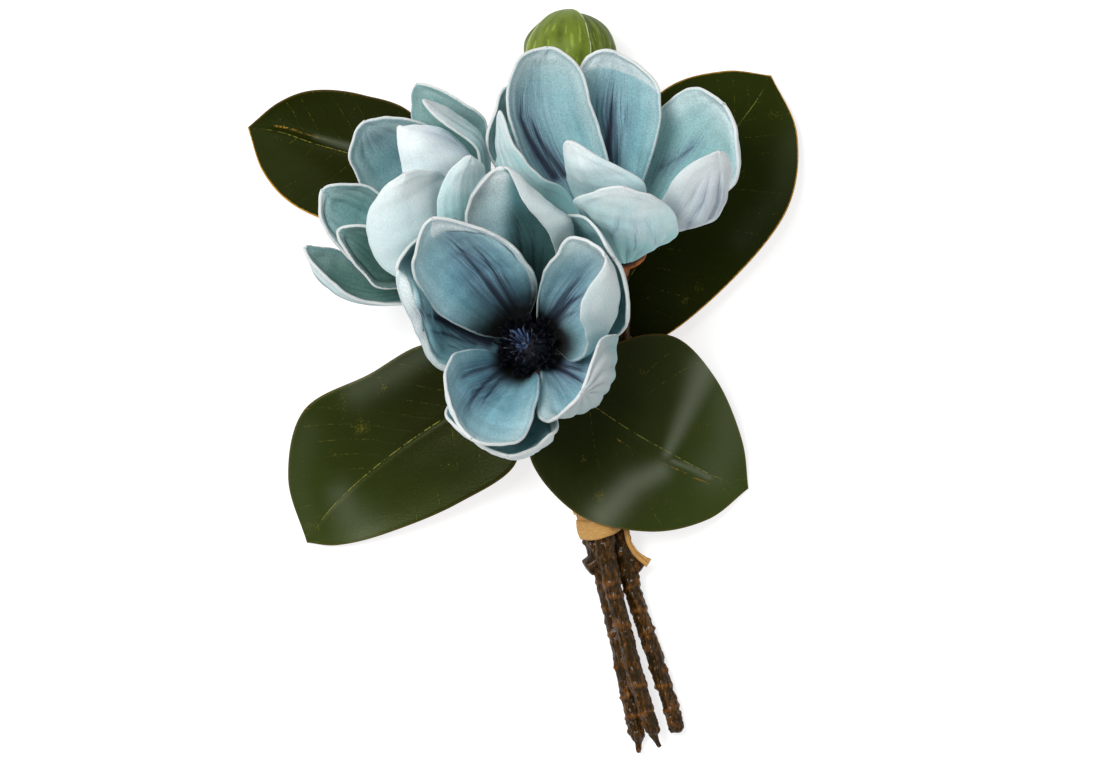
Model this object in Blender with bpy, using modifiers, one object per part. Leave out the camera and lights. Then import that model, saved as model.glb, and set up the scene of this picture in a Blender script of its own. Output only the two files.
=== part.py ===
"""A tied bunch of three blue foam magnolia blooms with a bud, four leaves and bark stems, lying on a surface.

The bunch lies on its back at z = 0 with the stems towards -Y, and the front bloom opens upwards. All sizes
below are millimetres and are turned into metres where the meshes are made.
"""

import math
import random
from dataclasses import dataclass

import bmesh
import bpy
from mathutils import Matrix, Vector

MM = 0.001

# Petals
PETAL_THICKNESS = 1.8
PETAL_STEPS_LONG = 8
PETAL_STEPS_WIDE = 6
ROOT_HALF_WIDTH = 3.6
TOUCH_GAP = 0.35

# Receptacle that carries the petals: a cone with three rings of petal roots
RECEPTACLE_LOW = -2.0
RECEPTACLE_TOP = 6.0
RECEPTACLE_LOW_RADIUS = 12.0
RECEPTACLE_TOP_RADIUS = 6.0
RECEPTACLE_BOTTOM = -13.0
RECEPTACLE_PROFILE = ((4.3, -13.0), (5.2, -9.5), (8.0, -6.0), (11.2, -3.4), (12.0, -2.0), (6.0, 6.0))
RING_HEIGHT = (4.0, 1.0, -1.5)

# Stamens
CORE_PROFILE = ((5.4, 6.35), (7.6, 9.0), (8.6, 12.5), (7.8, 16.0), (5.0, 18.6), (1.6, 19.6))
STAMEN_RADIUS = 0.75
ANTHER_RADIUS = 1.15

# Leaves
LEAF_THICKNESS = 1.4
LEAF_STEPS_LONG = 10
LEAF_STEPS_WIDE = 6
RIB_DROP = 0.9
RIB_END_SHARE = 0.62

# Stems
TWIG_GAP = 0.35
STEM_STEP = 6.5
STEM_RING_HEIGHT = 0.35
STEM_RING_LENGTH = 1.6

# Tie
TIE_CLEARANCE = 0.45
TIE_THICKNESS = 1.4
TIE_SECTIONS = (-66.0, -63.0, -59.5, -56.0, -52.5)
TIE_SLANT = 0.24
TIE_ANGLES = 30
TAIL_ROUTE = ((41.2, -57.5, 13.1), (43.6, -62.5, 12.4), (45.0, -67.5, 11.8), (47.6, -71.4, 11.2),
              (50.4, -73.8, 10.2), (52.8, -75.5, 9.4))
TAIL_HALF_WIDTH = (1.3, 1.4, 1.5, 1.7, 2.0, 2.4)
TAIL_THICKNESS = 0.9

# Bud
BUD_CENTRE = (19.3, 139.0, 18.6)
BUD_RADIUS = 19.2
BUD_TOP_LENGTH = 17.7
BUD_BASE_LENGTH = 36.0
BUD_BASE_CUT = 35.0
BUD_RIBS = 11
BUD_RIB_HEIGHT = 0.45
BUD_SIDES = 22
BUD_STEPS = 10


@dataclass(frozen=True)
class Petal:
    """One petal: where it roots, three rows of points towards the tip, and the tip."""

    name: str
    bearing: float
    ring: int
    rows: tuple
    tip: tuple


@dataclass(frozen=True)
class StamenRing:
    """A ring of stamens: how many, where they leave the core, how far out and how high they end, and a turn."""

    count: int
    low: float
    reach: float
    high: float
    phase: float


@dataclass(frozen=True)
class Bloom:
    """One bloom: its hub, the way it opens, how wide its core is, its stamens and its petals."""

    name: str
    hub: tuple
    opening: tuple
    core_width: float
    stamens: tuple
    petals: tuple


@dataclass(frozen=True)
class Leaf:
    """One leaf: rows from its base to near its tip, the tip, and the route of its stalk."""

    name: str
    rows: tuple
    tip: tuple
    stalk: tuple


@dataclass(frozen=True)
class Stem:
    """One stem: a route of points with a radius each, twigs and cut stubs on it, and its bark rings."""

    name: str
    route: tuple
    twigs: tuple
    ring_levels: tuple


# Rows run anticlockwise round the bloom, seen from its open side.
FRONT_BLOOM = Bloom("front", (3, 14, 42), (-0.11, 0.08, 0.99), 0.9, (
    StamenRing(15, 9.0, 11.3, 16.5, 0.0),
    StamenRing(11, 13.0, 8.6, 20.5, 0.2),
    StamenRing(5, 17.0, 3.6, 23.0, 0.5)), (
    Petal("upper_left", 130, 0, (
        ((5.5, 38, 61), (-8, 30, 52), (-20, 20.5, 61)),
        ((2, 50, 80), (-21, 46, 70), (-37, 30, 76)),
        ((-12, 62, 97), (-34, 59, 91), (-46.5, 48, 97))), (-38, 68.3, 110)),
    Petal("right", 47, 0, (
        ((20, 8.7, 62), (23, 20, 59), (14, 28, 54), (6.2, 38, 64)),
        ((26.5, 15.5, 87), (37, 29, 82), (27, 44, 77), (9.5, 48, 84)),
        ((24, 33, 106), (39, 39, 98), (34, 51, 94), (20, 60.3, 100))), (33.6, 52.3, 108)),
    Petal("lower_right", -37, 0, (
        ((7, 2, 58), (17, 3, 51), (25, 12, 54)),
        ((5.5, -11, 76), (31, -6, 74), (39, 20, 88)),
        ((10, -16.2, 95), (34, -4, 98), (31.5, 17, 109))), (24.5, -4, 112)),
    Petal("lower_left", -114, 0, (
        ((-17, 13.8, 62), (-8, -3, 57), (6.3, 2, 63)),
        ((-30, 11.5, 82), (-17, -11, 79), (5, -11, 84)),
        ((-32.5, -4, 100), (-21, -19.5, 100), (-1.5, -25, 104))), (-21, -22.5, 115)),
    Petal("top", 95, 1, (
        ((14, 45, 62), (14, 46, 58), (0, 36, 47), (-12, 36, 53)),
        ((10, 62.5, 88), (17, 65.5, 82), (-4, 60, 67), (-23, 60, 76)),
        ((0, 75, 98), (5, 79, 91), (-12, 80, 83), (-21.5, 77, 88))), (-9, 89.5, 97)),
    Petal("far_left", 168, 1, (
        ((-10, 30, 47), (-12, 19, 46), (-20, 4, 54)),
        ((-24, 46, 63), (-31, 28, 58), (-36, 8, 66)),
        ((-42, 60, 88), (-46, 40, 82), (-47, 26, 84))), (-53.5, 47, 97)),
    Petal("bottom", 262, 1, (
        ((-14, 0, 56), (-3, -6, 50), (10, -2, 51)),
        ((-26, -4, 72), (-7, -21, 66), (13, -13, 64)),
        ((-32, -15, 88), (-8, -29, 83), (12, -21, 84))), (-7, -30.5, 102)),
    Petal("far_right", 15, 1, (
        ((20, 12, 43), (20, 27, 46), (10, 38, 46)),
        ((39.5, 20, 72), (35, 44, 62), (14, 64, 68)),
        ((43.3, 33.5, 92), (39, 49, 84), (24, 69.5, 90))), (38, 52, 99)),
))

# The two side blooms are half closed, so their stamens stand in a narrow sheaf.
RIGHT_BLOOM = Bloom("right", (39, 56, 42), (-0.05, 0.83, 0.56), 0.55, (
    StamenRing(8, 12.0, 3.6, 19.5, 0.0),
    StamenRing(3, 16.0, 1.6, 22.0, 0.3)), (
    Petal("back_left", 140, 0, (
        ((37, 84, 54), (26, 80, 49), (9, 78, 57)),
        ((30.5, 110, 59), (12, 108, 49), (-7, 112, 63)),
        ((22, 133.5, 62), (9, 130, 54), (-3.5, 134, 65))), (9, 140.5, 62)),
    Petal("back", 80, 0, (
        ((50, 84, 51), (40, 82, 43), (30, 80, 43)),
        ((57, 108, 55), (38, 108, 43), (20, 112, 43)),
        ((55, 126, 56), (39, 130, 46), (25, 134, 52))), (38.6, 138.8, 53)),
    Petal("back_right", 35, 1, (
        ((62, 66, 44), (57, 76, 39), (49, 82, 36)),
        ((87, 82, 60), (74, 98, 44), (52, 108, 38)),
        ((89, 101, 68), (81, 110, 53), (69, 123.5, 51))), (84, 116.5, 62)),
    Petal("front_right", 325, 0, (
        ((48, 62, 58), (56, 62, 55), (58, 68, 50)),
        ((57, 74, 82), (78, 68, 76), (78, 82, 66)),
        ((66, 91, 97), (85, 82, 89), (85, 93, 80))), (82, 96, 96)),
    Petal("front", 288, 1, (
        ((33, 62, 58), (43, 54, 62), (55, 58, 58)),
        ((24, 73, 80), (43, 60, 84), (64, 63, 82)),
        ((22, 77.5, 99), (42, 72, 103), (61, 73, 98))), (42, 82, 114)),
    Petal("front_left", 238, 0, (
        ((28, 68, 56), (36, 64, 58), (43, 66, 58)),
        ((19.5, 81, 72), (34, 74, 78), (50, 74, 78)),
        ((17.5, 91, 88), (27, 87, 95), (48, 85, 95))), (19.5, 100.5, 103)),
    Petal("lower_left", 215, 1, (
        ((15, 66, 52), (18, 66, 57), (19, 79, 66)),
        ((-8, 84, 59), (-1, 80, 67), (7, 86, 78)),
        ((-10.5, 98, 71), (-9, 97, 77), (-3.5, 98.5, 84))), (-9.5, 113.5, 82)),
    Petal("far_left", 170, 1, (
        ((24, 74, 36), (14, 72, 38), (5, 70, 43)),
        ((6, 90, 36), (-6, 92, 44), (-14.5, 95, 58)),
        ((4, 112, 39), (-8, 112, 50), (-13.3, 110, 62))), (-7, 125, 55)),
))

LEFT_BLOOM = Bloom("left", (-22, 48, 38), (-0.70, 0.57, 0.43), 0.34, (), (
    Petal("upper_inner", 0, 0, (
        ((-16.5, 76, 55), (-15.5, 75, 51), (-15.5, 74, 47)),
        ((-20, 98, 68), (-18, 101, 61), (-18, 102, 54)),
        ((-33, 107.5, 74), (-30, 111, 69), (-30, 113, 63))), (-42.5, 117.5, 74)),
    Petal("upper_outer", 18, 2, (
        ((-15, 78, 38), (-17, 73, 33), (-22, 69, 30)),
        ((-15, 107, 50), (-23, 101, 41), (-34, 95, 35)),
        ((-27, 119, 58), (-37, 113, 48), (-47, 110, 42))), (-45, 125, 55)),
    Petal("back_right", 64, 2, (
        ((-21, 72, 40), (-30, 66, 33), (-40, 59, 33)),
        ((-30, 98, 45), (-46, 84, 36), (-63, 75, 36)),
        ((-47, 110.5, 53), (-60, 98, 42), (-73, 95, 49))), (-67, 108.8, 54)),
    Petal("back", 103, 1, (
        ((-38, 60, 45), (-41, 53, 40), (-44, 45, 41)),
        ((-58, 78, 51), (-62, 66, 43), (-67, 47, 47)),
        ((-70, 83, 56), (-78, 74, 50), (-82, 62, 54))), (-85, 80.5, 58)),
    Petal("lower_inner", 150, 0, (
        ((-36, 55, 49), (-39, 49, 46), (-42, 41, 46)),
        ((-50, 64, 58), (-56, 53, 52), (-60, 39.5, 55)),
        ((-65, 66, 67), (-70, 60, 61), (-72.5, 51.5, 63))), (-77.5, 64, 68)),
    Petal("lowest", 185, 2, (
        ((-42, 45, 33), (-41, 39, 35), (-39, 35, 41)),
        ((-64, 48, 36), (-66, 38, 39), (-64, 35, 47)),
        ((-80, 56, 44), (-83, 45, 46), (-79, 42, 53))), (-91.5, 57, 54)),
    Petal("front", 245, 1, (
        ((-42, 47, 53), (-35, 53, 58), (-27, 60, 55)),
        ((-63, 53, 64), (-47, 62, 76), (-31, 70, 64)),
        ((-63.5, 72, 78), (-51, 78, 86), (-33, 86, 72))), (-50, 87.6, 92)),
    Petal("front_inner", 300, 0, (
        ((-34, 59, 50), (-27, 63, 51), (-21, 67, 46)),
        ((-46, 76, 64), (-34, 82, 67), (-18, 88, 54)),
        ((-52.5, 96, 76), (-42, 98, 78), (-32, 105, 64))), (-51, 107.3, 82)),
    Petal("front_right", 320, 2, (
        ((-31, 57, 63), (-22, 58, 58), (-12, 56, 46)),
        ((-37, 68, 78), (-23, 73, 74), (-12, 72, 56)),
        ((-33, 86, 86), (-23, 86, 81), (-15, 86, 66))), (-22, 95, 83)),
))

BLOOMS = (FRONT_BLOOM, RIGHT_BLOOM, LEFT_BLOOM)

# Leaf rows run from the edge on the clockwise side, over the midrib, to the other edge.
LEAVES = (
    Leaf("leaf_lower_left", (
        ((-12.0, -3.2, 13.4), (-11.4, -5.0, 13.2), (-10.8, -6.8, 13.4)),
        ((-38, 16, 20), (-30, -13, 15), (-3, -33, 18)),
        ((-66, 3, 16), (-50, -26, 12), (-28, -51, 13)),
        ((-92, -12, 12), (-69, -41, 7), (-58, -63.5, 7)),
        ((-98.7, -40, 8), (-83, -55, 4), (-78, -68.2, 3))), (-91, -67, 0.8),
        ((-6.35, -4.15, 11.8), (-8.3, -3.9, 12.8), (-11.4, -5.0, 13.2))),
    Leaf("leaf_lower_right", (
        ((15.6, -3.0, 24.2), (16.4, -1.2, 24.0), (17.2, 0.6, 24.2)),
        ((2, -29, 23), (28, -9, 23), (40, 17, 27)),
        ((22, -55, 24), (46, -21, 21), (63, 19.3, 20)),
        ((52, -62.4, 18), (62, -30, 14), (80, 1, 14)),
        ((77, -57.5, 7), (78, -38.5, 6), (91, -24, 6))), (94, -44.5, 0.8),
        ((13.2, 0.5, 22.15), (14.5, 0.45, 23.6), (16.4, -1.2, 24.0))),
    Leaf("leaf_right", (
        ((36.8, 26.5, 9.6), (35, 27.5, 9.3), (33.2, 28.5, 9.6)),
        ((53, 16.5, 10), (49, 51.5, 10), (22, 58, 11)),
        ((84, 39.5, 11), (68, 79, 12), (34, 94, 12)),
        ((110, 72, 10), (86, 103, 9), (60, 120, 10)),
        ((115, 104, 6), (97, 117.5, 5), (83.5, 131, 6))), (104, 129.2, 0.8),
        ((36.4, 12.4, 8.9), (35.6, 19, 9.0), (35.3, 26, 9.2))),
    Leaf("leaf_upper_left", (
        ((-32.4, 83, 15.6), (-33.2, 81, 15.2), (-34, 79, 15.6)),
        ((-46, 112, 17), (-49, 88, 16), (-46, 60, 17)),
        ((-68, 121, 15), (-69, 95, 14), (-72, 64.5, 13)),
        ((-88, 123, 10), (-88, 100.5, 9), (-96, 74, 9)),
        ((-103, 118, 5), (-103, 105.5, 4), (-109.5, 88, 5))), (-116.3, 107.3, 0.8),
        ((-22.2, 58.4, 14.5), (-25.5, 68, 15.0), (-29.5, 77, 15.2), (-34, 81.5, 15.2))),
)

# A route point is x, y, z and the radius there, from the cut end up to the bloom.
STEMS = (
    Stem("stem_left", (
        (48.3, -155.5, 3.0, 1.3), (48.0, -151.5, 3.4, 2.0), (47.2, -147, 3.9, 3.4), (45.6, -138, 4.1, 3.6),
        (43.4, -127, 4.2, 3.7), (40.2, -111, 4.4, 3.7), (36.6, -95, 4.8, 3.8), (32.9, -78, 5.8, 4.1),
        (29.2, -66, 6.5, 4.3), (27.2, -57, 6.6, 4.3), (20, -38, 6.6, 4.1), (11, -20, 6.4, 3.9),
        (3, -5, 7.0, 3.8), (0, 10, 9.0, 3.7), (-1.5, 23, 15, 3.6), (-4, 32, 24, 3.6),
        (-8.3, 36.8, 29.6, 3.6), (-12.45, 40.24, 32.13, 3.8)), (
        ((2, -5, 7.2, 2.2), (-2.2, -4.7, 9.6, 2.0), (-6.0, -4.2, 11.6, 1.8)),
        ((-1.3, 22, 14.5, 2.3), (-9, 33, 14.2, 2.0), (-16.5, 46, 14.0, 1.9), (-22, 58, 14.5, 1.8)),
        ((31.0, -71.0, 6.3, 3.4), (28.0, -74.0, 6.1, 3.1), (25.4, -76.8, 5.9, 2.3))),
        (-141, -131, -105, -94, -84)),
    Stem("stem_middle", (
        (57.1, -154, 9.2, 1.1), (55.2, -150.5, 9.8, 1.6), (53.4, -146, 10.4, 3.2), (50.6, -136, 11.2, 3.5),
        (46.7, -122.4, 12.0, 3.6), (43.0, -108, 12.3, 3.6), (39.9, -96.4, 12.6, 3.7), (36.9, -84.6, 13.0, 3.8),
        (34.6, -72, 13.6, 4.1), (33.5, -60, 13.9, 4.3), (31.6, -50, 13.9, 4.2), (26, -38, 13.8, 4.0),
        (17.4, -20, 13.4, 3.9), (10.5, -7, 14.6, 3.8), (7.2, 3, 16.6, 3.7), (5.6, 9.6, 20.5, 3.7),
        (5.0, 12.5, 24.6, 3.8), (4.49, 12.92, 28.53, 3.9)), (
        ((8.5, -1, 15.6, 2.3), (10.4, 0.6, 19, 2.0), (13.0, 0.5, 21.9, 1.8)),),
        (-138, -127, -102, -90, -85)),
    Stem("stem_right", (
        (64.5, -148, 3.5, 2.2), (64.1, -146.2, 3.6, 3.0), (62.2, -137, 3.8, 3.3), (59.7, -127, 4.0, 3.4),
        (56.7, -117.5, 4.2, 3.5), (53, -106, 4.4, 3.5), (49.6, -96, 4.8, 3.6), (46.4, -86, 5.3, 3.8),
        (43.6, -77, 5.9, 4.1), (41, -68, 6.5, 4.3), (39.6, -60, 6.6, 4.3), (39.2, -50, 6.6, 4.2),
        (40, -30, 7.0, 4.0), (41, -8, 8.5, 3.9), (41.5, 8, 13, 3.8), (41, 22, 20, 3.7),
        (40.4, 33, 27, 3.7), (40.0, 39.8, 31.1, 3.8), (39.67, 44.74, 34.4, 3.9)), (
        ((41, -9, 8.4, 2.3), (38.6, 1, 8.5, 2.0), (36.5, 12, 8.9, 1.8)),
        ((41.4, 9, 13.4, 2.6), (37, 22, 18, 2.2), (31, 42, 20.8, 2.1), (25, 66, 21.6, 2.1),
         (21.0, 88, 20.4, 2.1), (19.4, 103.65, 18.7, 2.1)),
        ((44.2, -74.6, 6.0, 3.3), (46.8, -76.8, 6.0, 3.0), (49.4, -79.0, 6.0, 2.2))),
        (-137, -128, -105, -95, -86)),
)

COLOURS = {
    "petal": ((0.42, 0.60, 0.64), 0.62),
    "receptacle": ((0.30, 0.10, 0.02), 0.60),
    "stamens": ((0.012, 0.014, 0.035), 0.35),
    "leaf": ((0.020, 0.040, 0.012), 0.38),
    "stem": ((0.055, 0.030, 0.014), 0.48),
    "bud": ((0.17, 0.24, 0.04), 0.55),
    "tie": ((0.50, 0.30, 0.12), 0.75),
}


def clear_scene():
    """Remove every object that is already there."""
    for old in list(bpy.data.objects):
        bpy.data.objects.remove(old, do_unlink=True)


def material(name, look):
    """A Principled material of its own for one node."""
    colour, roughness = COLOURS[look]
    made = bpy.data.materials.new(name)
    made.use_nodes = True
    shader = made.node_tree.nodes["Principled BSDF"]
    shader.inputs["Base Color"].default_value = (*colour, 1.0)
    shader.inputs["Roughness"].default_value = roughness
    shader.inputs["Metallic"].default_value = 0.0
    return made


def collection(name, hidden=False):
    """A collection under the scene, hidden from renders where it only holds helpers."""
    made = bpy.data.collections.new(name)
    made.hide_render = hidden
    bpy.context.scene.collection.children.link(made)
    return made


def link_mesh(name, mesh, look, group):
    """An object for a mesh, with its own material."""
    mesh.name = name
    mesh.materials.clear()
    mesh.materials.append(material(name, look))
    made = bpy.data.objects.new(name, mesh)
    group.objects.link(made)
    return made


def settle(obj):
    """Apply an object's modifiers and keep its normals outwards."""
    bpy.context.view_layer.update()
    depsgraph = bpy.context.evaluated_depsgraph_get()
    mesh = bpy.data.meshes.new_from_object(obj.evaluated_get(depsgraph))
    bm = bmesh.new()
    bm.from_mesh(mesh)
    bmesh.ops.remove_doubles(bm, verts=bm.verts, dist=0.000003)
    bmesh.ops.recalc_face_normals(bm, faces=bm.faces)
    bmesh.ops.triangulate(bm, faces=bm.faces)
    bm.to_mesh(mesh)
    bm.free()
    if obj.type == "MESH":
        obj.modifiers.clear()
        obj.data = mesh
        return obj
    name = obj.name
    groups = list(obj.users_collection)
    bpy.data.objects.remove(obj, do_unlink=True)
    made = bpy.data.objects.new(name, mesh)
    for group in groups:
        group.objects.link(made)
    return made


def fuse(target, others, with_self=False, solver="EXACT"):
    """Join other solids to a target by Boolean union, and remove them."""
    for other in others:
        step = target.modifiers.new("fuse", "BOOLEAN")
        step.operation = "UNION"
        step.solver = solver
        step.use_self = with_self
        step.object = other
        settle(target)
        bpy.data.objects.remove(other, do_unlink=True)
    return target


def between(before, start, end, after, share):
    """A point of the smooth curve through four points, between the second and the third."""
    square = share * share
    cube = square * share
    return (start * 2 + (end - before) * share + (before * 2 - start * 5 + end * 4 - after) * square
            + (start * 3 - before - end * 3 + after) * cube) * 0.5


def along(points, share):
    """A point of the smooth curve through all the points, by its share of the way."""
    spot = share * (len(points) - 1)
    index = min(int(spot), len(points) - 2)
    start = points[index]
    end = points[index + 1]
    before = points[index - 1] if index > 0 else start * 2 - end
    after = points[index + 2] if index + 2 < len(points) else end * 2 - start
    return between(before, start, end, after, spot - index)


def blend(values, share):
    """The curve through evenly spaced values, from the first at 0 to the last at 1."""
    count = len(values)
    total = values[0] * 0.0
    for index, value in enumerate(values):
        weight = 1.0
        here = index / (count - 1)
        for other in range(count):
            if other != index:
                there = other / (count - 1)
                weight *= (share - there) / (here - there)
        total = total + value * weight
    return total


def blade_point(net, pointed, long_share, wide_share):
    """A point of the sheet that passes through the rows of a net, from its root row to its tip."""
    rows = len(net)
    rails = len(net[0])
    spot = long_share * (rows - 1)
    index = min(int(spot), rows - 2)
    row = []
    for rail in range(rails):
        start = net[index][rail]
        end = net[index + 1][rail]
        before = net[index - 1][rail] if index > 0 else start * 2 - end
        if index + 2 < rows:
            after = net[index + 2][rail]
        elif pointed:
            after = end * 2 - start
        else:
            # The two edges run on into each other round a blunt tip.
            turn = abs(2 * rail / (rails - 1) - 1)
            after = net[rows - 2][rails - 1 - rail] * turn + (end * 2 - start) * (1 - turn)
        row.append(between(before, start, end, after, spot - index))
    return blend(row, wide_share)


def blade(name, net, pointed, thickness, steps_long, steps_wide, look, group):
    """A curved sheet of even thickness through the rows of a net."""
    bm = bmesh.new()
    bmesh.ops.create_grid(bm, x_segments=steps_wide, y_segments=steps_long, size=1.0)
    for vert in bm.verts:
        wide_share = (vert.co.x + 1) / 2
        long_share = (vert.co.y + 1) / 2
        vert.co = blade_point(net, pointed, long_share, wide_share) * MM
    bmesh.ops.remove_doubles(bm, verts=bm.verts, dist=0.00005)
    bmesh.ops.triangulate(bm, faces=bm.faces, quad_method="FIXED")
    mesh = bpy.data.meshes.new(name)
    bm.to_mesh(mesh)
    bm.free()
    sheet = link_mesh(name, mesh, look, group)
    solid = sheet.modifiers.new("thickness", "SOLIDIFY")
    solid.thickness = thickness * MM
    solid.offset = 0.0
    return settle(sheet)


def tube(name, points, group, sides=1, caps=True):
    """A tube through points that each carry a radius, x, y, z and radius in millimetres."""
    curve = bpy.data.curves.new(name, "CURVE")
    curve.dimensions = "3D"
    curve.bevel_depth = MM
    curve.bevel_resolution = sides
    curve.use_fill_caps = caps
    curve.twist_mode = "MINIMUM"
    add_spline(curve, points)
    made = bpy.data.objects.new(name, curve)
    group.objects.link(made)
    return settle(made)


def add_spline(curve, points):
    """Add one run of straight pieces with a radius at each point."""
    spline = curve.splines.new("POLY")
    spline.points.add(len(points) - 1)
    for spot, (x, y, z, radius) in zip(spline.points, points):
        spot.co = (x * MM, y * MM, z * MM, 1.0)
        spot.radius = radius


def turned(name, profile, place, look, group, sides=16):
    """A solid turned about its own axis from a profile of radius and height, then put in place."""
    bm = bmesh.new()
    line = [bm.verts.new((0, 0, profile[0][1] * MM))]
    line += [bm.verts.new((radius * MM, 0, height * MM)) for radius, height in profile]
    line.append(bm.verts.new((0, 0, profile[-1][1] * MM)))
    for low, high in zip(line, line[1:]):
        bm.edges.new((low, high))
    mesh = bpy.data.meshes.new(name)
    bm.to_mesh(mesh)
    bm.free()
    made = link_mesh(name, mesh, look, group)
    turn = made.modifiers.new("turn", "SCREW")
    turn.steps = sides
    turn.render_steps = sides
    turn.use_merge_vertices = True
    turn.merge_threshold = 0.00005
    settle(made)
    made.data.transform(place)
    return made


def bloom_frame(bloom):
    """The matrix from a bloom's own frame, with +Z along its opening, to the bunch's, in metres."""
    opening = Vector(bloom.opening).normalized()
    if opening.z > 0.9:
        across = (Vector((1, 0, 0)) - opening * opening.x).normalized()
    else:
        across = Vector((opening.y, -opening.x, 0)).normalized()
    third = opening.cross(across)
    turn = Matrix((across, third, opening)).transposed().to_4x4()
    return Matrix.Translation(Vector(bloom.hub) * MM) @ turn


def root_row(bloom, petal):
    """The points where a petal starts, on an arc round the receptacle."""
    height = RING_HEIGHT[petal.ring]
    slope = (RECEPTACLE_TOP_RADIUS - RECEPTACLE_LOW_RADIUS) / (RECEPTACLE_TOP - RECEPTACLE_LOW)
    cone = RECEPTACLE_LOW_RADIUS + slope * (height - RECEPTACLE_LOW)
    radius = cone + TOUCH_GAP + PETAL_THICKNESS / 2
    count = len(petal.rows[0])
    row = []
    for index in range(count):
        side = 2 * index / (count - 1) - 1
        angle = math.radians(petal.bearing) + side * ROOT_HALF_WIDTH / radius
        spot = Vector((radius * math.cos(angle), radius * math.sin(angle), height)) * MM
        row.append(bloom_frame(bloom) @ spot / MM)
    return row


def petal_net(bloom, petal):
    """All rows of a petal, from its root to its tip."""
    rows = [root_row(bloom, petal)]
    rows += [[Vector(point) for point in row] for row in petal.rows]
    rows.append([Vector(petal.tip)] * len(petal.rows[0]))
    return rows


def build_stamens(bloom, group, helpers):
    """The dark core of a bloom with its stamens and styles fused to it."""
    name = f"stamens_{bloom.name}"
    place = bloom_frame(bloom)
    profile = tuple((radius * bloom.core_width, height) for radius, height in CORE_PROFILE)
    core = turned(name, profile, place, "stamens", group, sides=14)
    if not bloom.stamens:
        return core
    curve = bpy.data.curves.new(name + "_rods", "CURVE")
    curve.dimensions = "3D"
    curve.bevel_depth = MM
    curve.bevel_resolution = 0
    curve.use_fill_caps = True
    draw = random.Random(bloom.name)
    for ring in bloom.stamens:
        for index in range(ring.count):
            angle = 2 * math.pi * (index + ring.phase) / ring.count + draw.uniform(-0.08, 0.08)
            lift = draw.uniform(-0.8, 0.8)
            points = []
            for share, radius in ((0.0, STAMEN_RADIUS), (0.75, ANTHER_RADIUS), (1.0, STAMEN_RADIUS)):
                start = min(3.0, ring.reach * 0.5)
                out = start + (ring.reach - start) * (1 - (1 - share) ** 1.5)
                rise = ring.low + (ring.high + lift - ring.low) * share ** 1.4
                spot = place @ (Vector((out * math.cos(angle), out * math.sin(angle), rise)) * MM) / MM
                points.append((spot.x, spot.y, spot.z, radius))
            add_spline(curve, points)
    rods = bpy.data.objects.new(name + "_rods", curve)
    helpers.objects.link(rods)
    fuse(core, [settle(rods)], with_self=True)
    return core


def build_bloom(bloom, group, helpers):
    """A receptacle, its stamens and its petals."""
    place = bloom_frame(bloom)
    turned(f"receptacle_{bloom.name}", RECEPTACLE_PROFILE, place, "receptacle", group)
    build_stamens(bloom, group, helpers)
    for petal in bloom.petals:
        blade(f"petal_{bloom.name}_{petal.name}", petal_net(bloom, petal), False, PETAL_THICKNESS,
              PETAL_STEPS_LONG, PETAL_STEPS_WIDE, "petal", group)


def build_leaf(leaf, group, helpers):
    """A leaf blade with its stalk and midrib fused to it."""
    net = [[Vector(point) for point in row] for row in leaf.rows]
    net.append([Vector(leaf.tip)] * 3)
    made = blade(leaf.name, net, True, LEAF_THICKNESS, LEAF_STEPS_LONG, LEAF_STEPS_WIDE, "leaf", group)
    points = [(*spot, 1.7) for spot in leaf.stalk[:-1]]
    steps = 7
    for step in range(steps):
        share = 0.03 + RIB_END_SHARE * step / (steps - 1)
        spot = blade_point(net, True, share, 0.5)
        points.append((spot.x, spot.y, spot.z - RIB_DROP, 1.6 - 0.6 * step / (steps - 1)))
    rib = tube(leaf.name + "_rib", points, helpers)
    return fuse(made, [rib], solver="MANIFOLD")


def stem_points(stem):
    """Closely spaced points along a stem, with its bark rings."""
    route = [Vector(point) for point in stem.route]
    length = sum((b - a).length for a, b in zip(route, route[1:]))
    count = max(int(length / STEM_STEP), 2)
    shares = [index / count for index in range(count + 1)]
    for level in stem.ring_levels:
        near = min(range(400), key=lambda step: abs(along(route, step / 400).y - level)) / 400
        half = STEM_RING_LENGTH / 2 / length
        shares += [near - half, near, near + half]
    shares.sort()
    points = []
    for share in shares:
        if points and share - last_share < 0.7 / length:
            continue
        spot = along(route, share)
        ring = min((abs(spot.y - level) for level in stem.ring_levels), default=9.0)
        swell = STEM_RING_HEIGHT if ring < 0.35 else 0.0
        points.append((spot.x, spot.y, spot.z, spot.w + swell))
        last_share = share
    return points


def smooth_run(points, pieces):
    """A smooth run through a few points that each carry a radius."""
    route = [Vector(point) for point in points]
    return [tuple(along(route, step / pieces)) for step in range(pieces + 1)]


def build_stem(stem, group, helpers):
    """A bark stem with the twigs and cut stubs that grow from it."""
    made = tube(stem.name, stem_points(stem), group, sides=2)
    made.data.materials.clear()
    made.data.materials.append(material(stem.name, "stem"))
    for number, twig in enumerate(stem.twigs):
        pieces = 4 * (len(twig) - 1) if len(twig) > 3 else 4
        branch = tube(f"{stem.name}_twig_{number}", smooth_run(twig, pieces), helpers)
        fuse(made, [branch])
    return made


def stem_centre(stem, level):
    """Where a stem's centre lies at a given y, as x and z."""
    route = [Vector(point) for point in stem.route]
    low = max((index for index in range(len(route) - 1) if route[index].y <= level), default=0)
    share = (level - route[low].y) / (route[low + 1].y - route[low].y)
    spot = route[low].lerp(route[low + 1], share)
    return spot.x, spot.z, spot.w


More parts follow.
